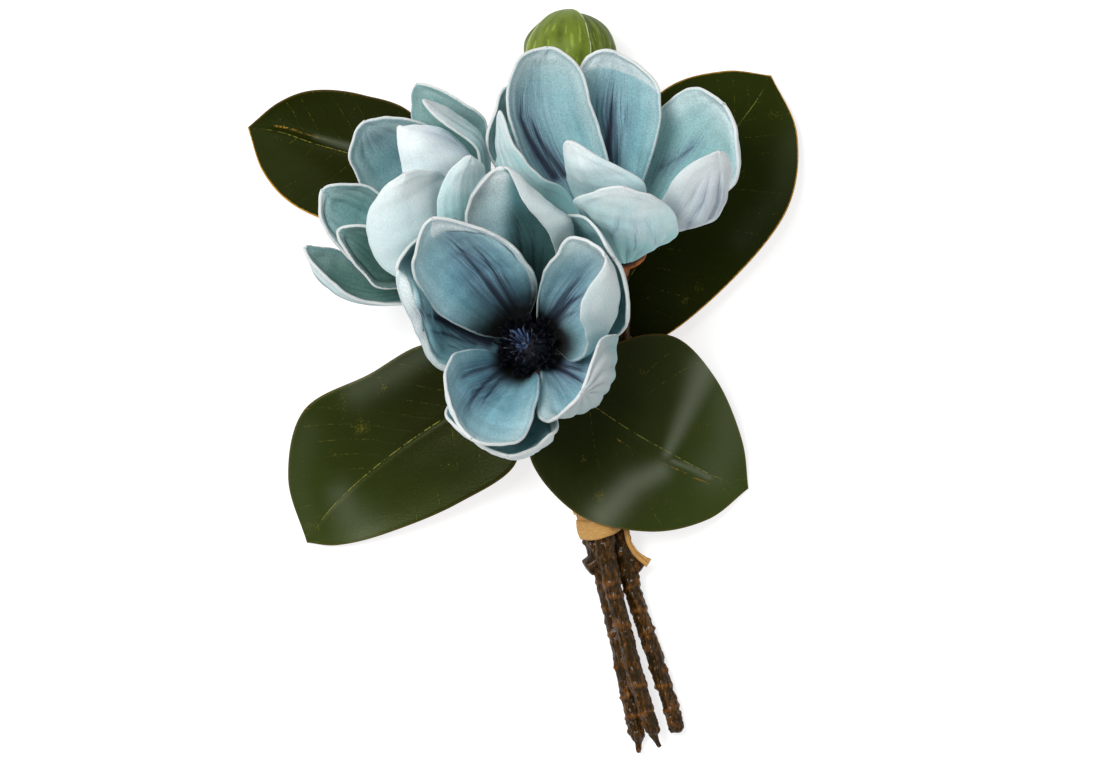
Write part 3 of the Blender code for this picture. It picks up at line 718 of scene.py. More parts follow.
@dataclass(frozen=True)
class CupFinish(Finish):
    """Rust orange foam, painted black as shade where the petals cover it."""

    slot: ClassVar[str] = "receptacle_foam"
    rust: Colour = (0.095, 0.022, 0.003)
    orange: Colour = (0.400, 0.110, 0.010)
    dark: Colour = (0.003, 0.003, 0.004)

    def drawn(self, bench: Bench, effects: Effects) -> dict[str, object]:
        """Paint the skin and darken it with painted shade as its mesh says.

        Args:
            bench: The material's bench.
            effects: The shared node groups.

        Returns:
            What goes into the shader's sockets.
        """
        grain = bench.use(effects.grain, "Grain", Fineness=1000.0)
        tint = bench.mark("tint")
        tone = (grain.output("Mottle") + tint * 0.5).step(0.40, 0.95)
        # Painted shade: black where the petals cover the cup.
        body = bench.painted(self.rust, (tone, self.orange), (tint.step(-0.6, -1.6), self.dark))
        return {"Base Color": body, "Roughness": 0.55, "Specular IOR Level": 0.3,
                "Normal": bench.bump(grain, 0.6, 0.0005)}


@dataclass(frozen=True)
class FloorFinish(Finish):
    """Plain pale paper that glows a little, so that it stays white under the soft light."""

    slot: ClassVar[str] = "floor_paper"
    tone: float = 0.46
    glow: float = 0.70

    def drawn(self, bench: Bench, effects: Effects) -> dict[str, object]:
        """A hardly seen cloud of two greys.

        Args:
            bench: The material's bench.
            effects: The shared node groups; not used here.

        Returns:
            What goes into the shader's sockets.
        """
        colour = bench.mix(bench.cloud(bench.place(), 3.0, 2.0), (self.tone,) * 3, (self.tone + 0.02,) * 3)
        return {"Base Color": colour, "Roughness": 0.9, "Specular IOR Level": 0.1,
                "Emission Color": (1.0, 1.0, 1.0), "Emission Strength": self.glow}


class Workshop:
    """Dresses pieces and seats them on the part's body."""

    body = "root"

    def __init__(self) -> None:
        """Build the shared effects and an empty shelf of materials."""
        self.effects = Effects()
        self.shelf: dict[Finish, bpy.types.Material] = {}

    def dress(self, piece: Piece, finish: Finish) -> None:
        """Give a piece the material of a finish, which is built the first time it is asked for.

        Args:
            piece: The piece.
            finish: What it is dressed in.
        """
        if finish not in self.shelf:
            self.shelf[finish] = finish.material(self.effects)
        piece.data.materials.clear()
        piece.data.materials.append(self.shelf[finish])

    def seat(self, piece: Piece, finish: Finish, node: str) -> None:
        """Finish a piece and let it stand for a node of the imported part.

        Args:
            piece: The piece.
            finish: What it is dressed in.
            node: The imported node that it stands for.
        """
        self.dress(piece, finish)
        piece.data.shade_smooth()
        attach(piece, self.body)
        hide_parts(node)
        LOG.info("%s stands for %s", piece.name, node)


def link(name: str, data: bpy.types.ID) -> Piece:
    """An object for a mesh, a curve, a light or a camera, linked to the scene.

    Args:
        name: Its name.
        data: What it shows or does.

    Returns:
        The object.
    """
    made = bpy.data.objects.new(name, data)
    bpy.context.scene.collection.objects.link(made)
    return made


def link_mesh(name: str, bm: bmesh.types.BMesh) -> Piece:
    """A piece from mesh work in progress, which is used up.

    Args:
        name: The piece's name.
        bm: The mesh work.

    Returns:
        The piece.
    """
    mesh = bpy.data.meshes.new(name)
    bm.to_mesh(mesh)
    bm.free()
    return link(name, mesh)


def applied(piece: Piece) -> Piece:
    """Turn a curve, or a mesh with modifiers, into a plain mesh piece.

    Args:
        piece: The piece; it is used up.

    Returns:
        The mesh piece.
    """
    bpy.context.view_layer.update()
    graph = bpy.context.evaluated_depsgraph_get()
    mesh = bpy.data.meshes.new_from_object(piece.evaluated_get(graph))
    name = piece.name
    bpy.data.objects.remove(piece, do_unlink=True)
    return link(name, mesh)


def thickened(piece: Piece, thickness: float, group: str = "") -> Piece:
    """Give a thin piece its thickness.

    Args:
        piece: The piece; it is used up.
        thickness: Its thickness in millimetres.
        group: The vertex group that makes it thinner in places.

    Returns:
        The solid piece.
    """
    solid = piece.modifiers.new("thickness", "SOLIDIFY")
    solid.thickness = thickness * MM
    solid.offset = 0.0
    solid.vertex_group = group
    return applied(piece)


def write_marks(piece: Piece, marks: dict[str, list[float]]) -> Piece:
    """Store values on the points of a piece.

    Args:
        piece: The piece.
        marks: A value for each point, by name.

    Returns:
        The same piece.
    """
    for name, values in marks.items():
        layer = piece.data.attributes.get(name) or piece.data.attributes.new(name, "FLOAT", "POINT")
        layer.data.foreach_set("value", values)
    return piece


def same_marks(piece: Piece, **marks: float) -> Piece:
    """Store the same value at every point of a piece under each name, and give the piece back."""
    return write_marks(piece, {name: [value] * len(piece.data.vertices) for name, value in marks.items()})


def woven(name: str, columns: int, rows: int, place: Callable[[int, int], tuple[Vector, Marks]],
          merge: float = 0.005, closed: bool = False) -> Piece:
    """A grid of faces with every point put in its place.

    Args:
        name: The piece's name.
        columns: How many faces there are across.
        rows: How many faces there are along.
        place: Gives a point in millimetres, and what it carries, for a column and a row.
        merge: Points nearer to each other than this, in millimetres, become one.
        closed: Whether holes are filled and all faces turned outwards.

    Returns:
        The piece.
    """
    bm = bmesh.new()
    bmesh.ops.create_grid(bm, x_segments=columns, y_segments=rows, size=1.0)
    layers = {key: bm.verts.layers.float.new(key) for key in place(0, 0)[1]}
    for vert in bm.verts:
        spot, marks = place(round((vert.co.x + 1) / 2 * columns), round((vert.co.y + 1) / 2 * rows))
        vert.co = spot * MM
        for key, layer in layers.items():
            vert[layer] = marks[key]
    bmesh.ops.remove_doubles(bm, verts=bm.verts, dist=merge * MM)
    if closed:
        bmesh.ops.holes_fill(bm, edges=[edge for edge in bm.edges if len(edge.link_faces) == 1], sides=0)
        bmesh.ops.recalc_face_normals(bm, faces=bm.faces)
    return link_mesh(name, bm)


def joined(parts: list[Piece], name: str) -> Piece:
    """Join mesh pieces into one.

    Args:
        parts: The pieces; they are used up.
        name: The new piece's name.

    Returns:
        The joined piece.
    """
    bm = bmesh.new()
    for part in parts:
        bm.from_mesh(part.data)
        bpy.data.objects.remove(part, do_unlink=True)
    return link_mesh(name, bm)


def thread(name: str, points: list[Vector], sides: int) -> Piece:
    """A round thread through points in metres that each carry a radius.

    Args:
        name: The piece's name.
        points: Places with the radius as the fourth number.
        sides: How many sides it has, an even number from 4.

    Returns:
        The thread as a mesh piece.
    """
    curve = bpy.data.curves.new(name, "CURVE")
    curve.dimensions = "3D"
    curve.bevel_depth = 1.0
    curve.bevel_resolution = sides // 2 - 2
    curve.use_fill_caps = True
    curve.twist_mode = "MINIMUM"
    spline = curve.splines.new("POLY")
    spline.points.add(len(points) - 1)
    for spot, point in zip(spline.points, points):
        spot.co = (*point.xyz, 1.0)
        spot.radius = point.w
    return applied(link(name, curve))


@dataclass
class Sheet:
    """A curved sheet over a net of rows, with its points, normals and sizes on a fine grid."""

    net: Net
    pointed: bool
    steps_long: int
    steps_wide: int
    sway: float = 0.0
    tip_share: float = 0.93
    tip_steps: int = 8
    rim_width: float = 0.45
    rim_thickness: float = 0.5
    shares: list[float] = field(default_factory=list)
    sides: list[list[float]] = field(default_factory=list)
    points: Net = field(default_factory=list)
    normals: Net = field(default_factory=list)
    edges: list[list[float]] = field(default_factory=list)
    lengths: list[float] = field(default_factory=list)

    def __post_init__(self) -> None:
        """Work out the points, the normals and the distances from the rim."""
        main = self.steps_long - self.tip_steps
        tip = [1 - step / self.tip_steps for step in range(1, self.tip_steps + 1)]
        self.shares = [self.tip_share * step / main for step in range(main + 1)]
        self.shares += [1 - (1 - self.tip_share) * rest ** 2 for rest in tip]
        for share in self.shares:
            reach = self.sway * smooth_step(share, 0.15, 0.6)
            row = [uneven(point, reach) for point in net_row(self.net, self.pointed, share)]
            rim = min(2 * self.rim_width / max(reaches(row)[-1], 0.01), 2 / self.steps_wide)
            gap = 2 * (1 - rim) / (self.steps_wide - 2)
            self.sides.append([-1.0, *(rim - 1 + gap * side for side in range(self.steps_wide - 1)), 1.0])
            self.points.append([blend_row(row, (side + 1) / 2) for side in self.sides[-1]])
        self.measure()

    def measure(self) -> None:
        """Work out the inner face's normal and the distance from the rim at every point."""
        self.lengths = reaches([row[self.steps_wide // 2] for row in self.points])
        self.normals = []
        self.edges = []
        for step, row in enumerate(self.points):
            low = self.points[max(step - 1, 0)]
            high = self.points[min(step + 1, self.steps_long)]
            here = row if step < self.steps_long else low
            padded = [here[0], *here, here[-1]]
            runs = zip(low, high, padded, padded[2:])
            crossed = [(far - near).cross(right - left) for near, far, left, right in runs]
            self.normals.append([normal.normalized() for normal in crossed])
            ahead = (self.lengths[-1] - self.lengths[step]) ** 2 + 0.0001
            reach = reaches(row)
            beside = [min(across, reach[-1] - across) ** 2 + 0.0001 for across in reach]
            self.edges.append([1 / math.sqrt(1 / gap + 1 / ahead) for gap in beside])

    def shift(self, amount: Callable[[int, int], float]) -> None:
        """Move every point along its normal.

        Args:
            amount: Gives the move in millimetres for a row and a column.
        """
        moved = []
        for step, (points, normals) in enumerate(zip(self.points, self.normals)):
            moves = [amount(step, side) for side in range(len(points))]
            moved.append([point + normal * move for point, normal, move in zip(points, normals, moves)])
        self.points = moved
        self.measure()

    def piece(self, name: str, thickness: float, marks: Callable[[int, int], Marks]) -> Piece:
        """A solid sheet whose rim is a little thinner and so looks rounded.

        Args:
            name: The piece's name.
            thickness: Its thickness in millimetres.
            marks: Gives what a point carries for a row and a column.

        Returns:
            The piece.
        """
        flat = woven(name, self.steps_wide, self.steps_long, lambda side, step: (
            self.points[step][side], {"edge": self.edges[step][side], **marks(step, side)}), merge=0.01)
        edges = [item.value for item in flat.data.attributes["edge"].data]
        group = flat.vertex_groups.new(name="thickness")
        for index, edge in enumerate(edges):
            full = smooth_step(edge, -0.1, self.rim_width * 1.2)
            group.add([index], self.rim_thickness + (1 - self.rim_thickness) * full, "REPLACE")
        made = thickened(flat, thickness, group.name)
        made.vertex_groups.clear()
        # The first half of the points is the outer face and the second half the inner one.
        total = len(made.data.vertices)
        return write_marks(made, {"inside": [float(index >= len(edges)) for index in range(total)]})


@dataclass(frozen=True)
class Streak:
    """A dark line on a petal as seen from above, from its faint outer end to its dark end: mostly a brush
    line, and on the right bloom's front petal outside a painted crease shadow.
    """

    path: Profile
    width: float = 1.2
    strength: float = 1.0
    glow: float = 5.0
    outside: bool = False

    def distance(self, spot: Vector) -> tuple[float, float]:
        """How far a point seen from above is from the line, and how far along the line it is nearest.

        Args:
            spot: The point.

        Returns:
            The distance in millimetres and the share of the line, from 0 to 1.
        """
        found = []
        for index, (first, second) in enumerate(pairwise(self.path)):
            here = spot.xy - Vector(first)
            run = Vector(second) - Vector(first)
            share = min(max(here.dot(run) / run.length_squared, 0.0), 1.0)
            found.append(((here - run * share).length, (index + share) / (len(self.path) - 1)))
        return min(found, key=lambda item: item[0])


@dataclass(frozen=True)
class Pleats:
    """Soft folds that run lengthways: how many, how deep, and the shares of the length they cover."""

    count: float
    depth: float
    start: float = 0.05
    end: float = 0.7
    turn: float = 0.0

    def height(self, share: float, across: float) -> float:
        """The fold's height at a place on the petal, in millimetres."""
        fade = window(share, (self.start, self.start + 0.15), (self.end - 0.3, self.end))
        return self.depth * fade * math.cos(self.count * math.pi * across + self.turn)


@dataclass(frozen=True)
class Tint:
    """A petal's paint: how pale and green it is inside with its painted shade, how teal and violet outside,
    and where painted light and painted shade fall.
    """

    pale: float = 0.55
    green: float = 0.15
    shade: float = 0.0
    outer_teal: float = 0.5
    violet: float = 0.0
    dark_base: float = 0.24
    # Painted shade on the outer face, from 0 to 1.
    dim: float = 0.25
    # How much the pale and the painted shade split into a lit side and a shaded side.
    fade: float = 0.0
    # Width in millimetres of the painted highlight by the rim near the tip.
    hood_highlight: float = 0.0


@dataclass(frozen=True)
class Petal:
    """One petal: its root's bearing and ring, three rows of points, its tip, and what is drawn on it."""

    name: str
    bearing: float
    ring: int
    rows: tuple[Row, ...]
    tip: Place
    streaks: tuple[Streak, ...] = ()
    pleats: Pleats | None = None
    tint: Tint = Tint()
    lip: float = 0.0
    veined: float = 0.95
    pointed: bool = False

    def brushed(self, spot: Vector, facing: Vector) -> tuple[float, float, float]:
        """How strong the brush lines and the haze round them are at a point.

        Args:
            spot: The point in millimetres.
            facing: The inner face's normal there.

        Returns:
            The strength of the lines and that of the haze, each from 0 to 1, and the foam's move.
        """
        line = 0.0
        haze = 0.0
        move = 0.0
        for streak in self.streaks:
            gap, share = streak.distance(spot)
            seen = streak.strength * smooth_step(-facing.z if streak.outside else facing.z, 0.02, 0.30)
            fade = smooth_step(share, -0.25, 0.35)
            width = streak.width * (0.6 + 0.8 * share)
            line = max(line, seen * fade * bell(gap / width))
            haze = max(haze, seen * (0.25 + 0.75 * fade) * bell(gap / streak.glow))
            crease = 0.9 * seen * fade * bell(gap / (1.3 * width))
            move += crease if streak.outside else -crease
        return line, haze, move


class PetalPaint:
    """The folds and the paint of one petal, read at a row and a column of its sheet."""

    def __init__(self, petal: Petal, sheet: Sheet, seed: float) -> None:
        """Read the brush lines at every point of the sheet, before its folds.

        Args:
            petal: The petal.
            sheet: Its sheet.
            seed: The shift of its noise.
        """
        self.petal = petal
        self.sheet = sheet
        self.seed = seed
        rows = zip(sheet.points, sheet.normals)
        self.drawn = [[petal.brushed(*pair) for pair in zip(*row)] for row in rows]

    def rolled(self, across: float) -> float:
        """How strongly the rim is rolled over at a place across the petal."""
        lip = self.petal.lip
        return abs(lip) * min(1.8 * abs(across), 1.0) if lip * across < 0 else 0.0

    def relief(self, step: int, side: int) -> float:
        """How far the waves, veins, rolled rim, folds and brush lines lift the foam.

        Args:
            step: The row.
            side: The column.

        Returns:
            The height in millimetres.
        """
        petal = self.petal
        share = self.sheet.shares[step]
        across = self.sheet.sides[step][side]
        edge = self.sheet.edges[step][side]
        wave = 0.6 * lumps(across * 1.6 + self.seed, share * 2.6, 3.0)
        veins = petal.veined * lumps(across * (6.5 - 2.5 * share) + self.seed, share * 1.2, 9.0)
        veins *= (1 - smooth_step(share, 0.72, 0.98)) * (0.35 + 0.65 * smooth_step(edge, 0.0, 6.0))
        lip = (0.25 + min(self.rolled(across), 1.4)) * bell((edge - 3.0 - abs(petal.lip)) / 1.2)
        folds = petal.pleats.height(share, across) if petal.pleats else 0.0
        return (wave + veins - lip) * smooth_step(share, 0.1, 0.4) + folds + self.drawn[step][side][2]

    def marks(self, step: int, side: int) -> Marks:
        """What the petal's mesh carries at a point for its finish.

        Args:
            step: The row.
            side: The column.

        Returns:
            The values by name.
        """
        tint = self.petal.tint
        lip = self.petal.lip
        share = self.sheet.shares[step]
        across = self.sheet.sides[step][side]
        edge = self.sheet.edges[step][side]
        line, haze, _ = self.drawn[step][side]
        rolled = self.rolled(across)
        # Painted light and shade: where the fade is set, the pale stays on the lit side and the painted shade
        # on the other.
        lit_side = smooth_step(across + 1.2 * (share - 0.45), 0.35, 0.65)
        # Painted highlight: a pale band by the rim near the tip, as wide as the hood highlight, on the rolled
        # side where there is a lip.
        hooded = smooth_step(-across if lip > 0 else across, -0.40, -0.15) if lip else 1.0
        reach = tint.hood_highlight * hooded * smooth_step(share, 0.62, 0.88)
        hood_highlight = 1 - smooth_step(edge, 0.85 * reach, 1.20 * reach) if reach > 1 else 0.0
        # Painted shade: a dark crease line inside rolled rims and inside hood highlights, carried in the
        # streak mark.
        crease = bell((edge - max(1.9 * (1.2 + abs(lip)), reach + 1.0)) / 0.9) * smooth_step(share, 0.3, 0.6)
        crease *= 0.75 * min(max(rolled, 0.05 * reach), 1.0)
        # Painted highlight: a pale band along the rolled rim.
        wide = 1.2 + abs(lip)
        band = 0.9 * rolled * (1 - smooth_step(edge, wide, 1.7 * wide))
        rim = (1 - smooth_step(edge, 0.5, 12.0)) * smooth_step(share, 0.15, 0.6)
        pale = tint.pale * (0.2 * tint.pale + 0.5 * smooth_step(share, 0.35, 1.0) + 0.6 * rim)
        return {
            "along": share,
            "across": across,
            "streak": max(line, crease),
            "glow": haze,
            "base": 1 - smooth_step(share, 0.06, tint.dark_base),
            "seed": self.seed,
            "pale": pale * (1 - tint.fade * (1 - lit_side)) + band + hood_highlight,
            "green": tint.green,
            "shade": tint.shade * (1 - tint.fade * lit_side),
            "dim": tint.dim,
            "outer_teal": tint.outer_teal,
            "violet": tint.violet,
        }


@dataclass(frozen=True)
class StamenRing:
    """A ring of threads: how many, where they start, how far out and high they end, and their size."""

    count: int
    low: float
    reach: float
    high: float
    thickness: float
    knob: float
    arch: float = 1.35
    blue: float = 0.0
    lean: tuple[float, float] = (0.0, 0.0)

    def middle(self, angle: float, draw: random.Random) -> list[Vector]:
        """The middle line of one thread, which swells towards its end.

        Args:
            angle: Where it stands in the ring.
            draw: The bloom's own source of chance.

        Returns:
            Points in the bloom's frame, in millimetres, with the radius as the fourth number.
        """
        end = self.reach * draw.uniform(0.86 - 0.3 * self.blue, 1.04)
        high = self.high + draw.uniform(-1.2, 1.0)
        sway = draw.uniform(-0.35, 0.35)
        start = min(3.0, self.reach * 0.3)
        points = []
        for step in range(11):
            share = step / 10
            out = start + (end - start) * share ** (1 / self.arch)
            turn = angle + sway * share * share
            rise = self.low + (high - self.low) * share ** self.arch - 1.6 * self.blue * share ** 6
            swell = window(share, (0.60, 0.80), (0.90, 1.06))
            radius = self.thickness + (self.knob - self.thickness) * swell
            across = out * math.cos(turn) + self.lean[0] * share
            points.append(Vector((across, out * math.sin(turn) + self.lean[1] * share, rise, radius)))
        points[-1].w *= 0.35
        return points


@dataclass
class Bloom:
    """One bloom: its hub, the way it opens, its core and stamens, and its petals."""

    name: str
    hub: Place
    opening: Place
    core_profile: Profile
    stamens: tuple[StamenRing, ...]
    petals: tuple[Petal, ...]
    steps_long: int = 88
    steps_wide: int = 54

    def frame(self) -> Matrix:
        """The bloom's own frame, with +Z along its opening.

        Returns:
            The matrix from it to the bunch's frame, in metres.
        """
        opening = Vector(self.opening).normalized()
        if opening.z > 0.9:
            across = (Vector((1, 0, 0)) - opening * opening.x).normalized()
        else:
            across = Vector((opening.y, -opening.x, 0)).normalized()
        turn = Matrix((across, opening.cross(across), opening)).transposed().to_4x4()
        return Matrix.Translation(Vector(self.hub) * MM) @ turn

    def net(self, petal: Petal) -> Net:
        """All rows of a petal, from its root on the receptacle to its tip.

        Args:
            petal: The petal.

        Returns:
            The rows of points in millimetres.
        """
        height = RING_HEIGHT[petal.ring]
        slope = (CONE_TOP_RADIUS - CONE_LOW_RADIUS) / (CONE_TOP - CONE_LOW)
        radius = CONE_LOW_RADIUS + slope * (height - CONE_LOW) + ROOT_GAP + FOAM_THICKNESS / 2
        count = len(petal.rows[0])
        root = []
        for index in range(count):
            angle = math.radians(petal.bearing) + (2 * index / (count - 1) - 1) * ROOT_HALF_WIDTH / radius
            spot = Vector((radius * math.cos(angle), radius * math.sin(angle), height)) * MM
            root.append(self.frame() @ spot / MM)
        return [root, *([Vector(point) for point in row] for row in petal.rows), [Vector(petal.tip)] * count]

    def build(self, shop: Workshop) -> None:
        """Build and seat the petals, the cup and the stamens.

        Args:
            shop: Where it is finished.
        """
        for petal in self.petals:
            node = f"petal_{self.name}_{petal.name}"
            sheet = Sheet(self.net(petal), petal.pointed, self.steps_long, self.steps_wide, sway=1.0)
            paint = PetalPaint(petal, sheet, random.Random(node).uniform(0, 50))
            sheet.shift(paint.relief)
            shop.seat(sheet.piece(node + "_look", PETAL_THICKNESS, paint.marks), PetalFinish(), node)
        self.build_cup(shop)
        self.build_stamens(shop)

    @staticmethod
    def turned(name: str, profile: Profile, sides: int = 40) -> Piece:
        """A solid turned about the bloom's axis, in the bloom's own frame.

        Args:
            name: The piece's name.
            profile: Radius and height pairs from the bottom to the top.
            sides: How many sides it has.

        Returns:
            The piece.
        """
        curve = [Vector((radius, height, 0)) for radius, height in profile]
        steps = 4 * (len(profile) - 1)
        smooth = [along(curve, step / steps) for step in range(steps + 1)]
        radii = [0, *(max(spot.x, 0.05) for spot in smooth), 0]
        heights = [smooth[0].y, *(spot.y for spot in smooth), smooth[-1].y]
        bm = bmesh.new()
        line = [bm.verts.new((radius * MM, 0, height * MM)) for radius, height in zip(radii, heights)]
        for pair in pairwise(line):
            bm.edges.new(pair)
        piece = link_mesh(name, bm)
        turn = piece.modifiers.new("turn", "SCREW")
        turn.steps = sides
        turn.render_steps = sides
        turn.use_merge_vertices = True
        turn.merge_threshold = 0.00002
        return applied(piece)

    def build_cup(self, shop: Workshop) -> None:
        """Build the rust orange cup under the petals, with its uneven foam skin.

        Args:
            shop: Where it is finished.
        """
        node = f"receptacle_{self.name}"
        piece = self.turned(node + "_look", CUP_PROFILE)
        tint = []
        for vert in piece.data.vertices:
            spot = vert.co / MM
            out = Vector((spot.x, spot.y, 0)).normalized()
            vert.co = (spot + out * (0.35 * noise.noise(spot * 0.35))) * MM
            # Painted shade: the top of the cup, where the petals cover it, is marked for black.
            inside = smooth_step(spot.z, -1.5, 0.0)
            tint.append((0.5 + noise.noise(spot * 0.6)) * (1 - inside) - 3.0 * inside)
        piece.data.transform(self.frame())
        shop.seat(write_marks(piece, {"tint": tint}), CupFinish(), node)

    def build_stamens(self, shop: Workshop) -> None:
        """Build the dark core and the stamens and styles that stand on it.

        Args:
            shop: Where it is finished.
        """
        node = f"stamens_{self.name}"
        core = self.turned(node + "_core", self.core_profile)
        core.data.transform(self.frame())
        parts = [same_marks(core, tint=-1.0)]
        draw = random.Random(self.name)
        for ring in self.stamens:
            for index in range(ring.count):
                angle = 2 * math.pi * (index + draw.uniform(-0.35, 0.35)) / ring.count
                middle = ring.middle(angle, draw)
                points = [Vector((*(self.frame() @ (point.xyz * MM)), point.w * MM)) for point in middle]
                tint = ring.blue + draw.uniform(-0.3, 0.3)
                parts.append(same_marks(thread("stamen", points, 8), tint=tint))
        shop.seat(joined(parts, node + "_look"), StamenFinish(), node)


@dataclass
class Leaf:
    """One leaf: its rows, tip and stalk, its golden rim, its painted light level, its veins' slant and where
    its painted highlights lie.
    """

    name: str
    rows: tuple[Row, ...]
    tip: Place
    stalk: tuple[Place, ...]
    gold: tuple[float, float] = (0.08, 0.08)
    # How much green the paint lets through; a low value gives painted shade and a lower gloss.
    light: float = 1.0
    slant: tuple[float, float] = (0.9, 0.9)
    ridge: tuple[float, float, float] = (0.0, 1.0, 0.0)
    second: tuple[float, float] = (9.0, 9.0)
    # Middle lines of the painted highlights on the blade.
    haze: tuple[Streak, ...] = ()
    flecks: tuple[Streak, ...] = ()
    steps_long: int = 90
    steps_wide: int = 56
    thickness: float = 1.25
    rib_drop: float = 1.35
    rib_end: float = 0.62
    rib_pieces: int = 7

    def build(self, shop: Workshop) -> None:
        """Build and seat the blade with its stalk and midrib.

        Args:
            shop: Where it is finished.
        """
        net = [[Vector(point) for point in row] for row in self.rows] + [[Vector(self.tip)] * 3]
        sheet = Sheet(net, True, self.steps_long, self.steps_wide)
        paint = LeafPaint(self, sheet)
        sheet.shift(paint.relief)
        for row in sheet.points:
            for point in row:
                point.z = max(point.z, self.thickness / 2 + 0.05)
        sheet.measure()
        blade = sheet.piece(self.name + "_blade", self.thickness, paint.marks)
        route = [Vector((*spot, 1.7)) for spot in self.stalk[:-1]]
        for step in range(self.rib_pieces):
            part = step / (self.rib_pieces - 1)
            spot = net_row(net, True, 0.03 + self.rib_end * part)[1]
            route.append(Vector((spot.x, spot.y, spot.z - self.rib_drop, 1.6 - 0.6 * part)))
        rib = thread(self.name + "_rib", [along(route, step / 40) * MM for step in range(41)], 12)
        piece = joined([blade, same_marks(rib, rib=FAR, edge=FAR)], self.name + "_look")
        shop.seat(piece, LeafFinish(gloss=0.15 * self.light), self.name)

    def beside(self, share: float, away: float) -> float:
        """How far a place is from the second painted line, which runs beside the midrib.

        Args:
            share: How far along the leaf it is, from 0 to 1.
            away: Its distance from the midrib, below 0 on the first edge's side.

        Returns:
            The distance in millimetres.
        """
        way, start, end = self.ridge
        part = (share - start) / max(end - start, 0.01)
        line = way * (self.second[0] + (self.second[1] - self.second[0]) * part)
        return abs(away - line) if 0 <= part <= 1 else FAR

    def vein(self, run: float, away: float) -> float:
        """Which vein a place belongs to, in millimetres along the midrib.

        Args:
            run: How far along the leaf it is.
            away: Its distance from the midrib, below 0 on the first edge's side.

        Returns:
            Where the vein through it leaves the midrib.
        """
        lean = self.slant[0] if away < 0 else self.slant[1]
        return run - lean * abs(away) + 0.004 * away * away + (0.0 if away < 0 else 4.0)

    @staticmethod
    def drawn_patches(streaks: tuple[Streak, ...], spot: Vector) -> float:
        """How much of the drawn soft patches there is at a point.

        Args:
            streaks: The patches' middle lines.
            spot: The point in millimetres.

        Returns:
            The strongest patch's share.
        """
        value = 0.0
        for streak in streaks:
            gap, share = streak.distance(spot)
            width = streak.width + (streak.glow - streak.width) * share
            value = max(value, streak.strength * bell(gap / width))
        return value


class LeafPaint:
    """The relief and the paint of one leaf, read at a row and a column of its sheet."""

    def __init__(self, leaf: Leaf, sheet: Sheet) -> None:
        """Work out how far each point is from the midrib, below 0 on the first edge's side.

        Args:
            leaf: The leaf.
            sheet: Its sheet.
        """
        self.leaf = leaf
        self.sheet = sheet
        self.seed = random.Random(leaf.name).uniform(0, 50)
        self.middle = sheet.steps_wide // 2
        spans = [reaches(row) for row in sheet.points]
        self.away = [[reach - span[self.middle] for reach in span] for span in spans]

    def relief(self, step: int, side: int) -> float:
        """How far the slow waves, the groove over the midrib and the fold beside it lift the foam.

        Args:
            step: The row.
            side: The column.

        Returns:
            The height in millimetres.
        """
        share = self.sheet.shares[step]
        away = self.away[step][side]
        way, start, end = self.leaf.ridge
        fade = window(share, (start, start + 0.12), (end - 0.05, end))
        ridge = 0.5 * abs(way) * bell((away - 2.3 * way) / 1.2) * fade
        groove = 0.45 * bell(away / 0.8) * (1 - smooth_step(share, 0.8, 0.95))
        slow = lumps(self.sheet.sides[step][side] * 1.3, share * 3.0, self.seed)
        slow *= smooth_step(abs(away), 1.0, 14.0) * (1 - smooth_step(share, 0.8, 1.0))
        return slow - groove + ridge

    def marks(self, step: int, side: int) -> Marks:
        """What the leaf's mesh carries at a point for its finish.

        Args:
            step: The row.
            side: The column.

        Returns:
            The values by name.
        """
        leaf = self.leaf
        run = self.sheet.lengths[step]
        away = self.away[step][side]
        return {
            "run": run,
            "rib": abs(away),
            "vein": leaf.vein(run, away),
            "midrib": 1 - smooth_step(self.sheet.shares[step], 0.80, 0.93),
            "gold": leaf.gold[side >= self.middle],
            "haze": leaf.drawn_patches(leaf.haze, self.sheet.points[step][side]),
            "fleck": leaf.drawn_patches(leaf.flecks, self.sheet.points[step][side]),
            "light": leaf.light,
            "second": leaf.beside(self.sheet.shares[step], away),
        }


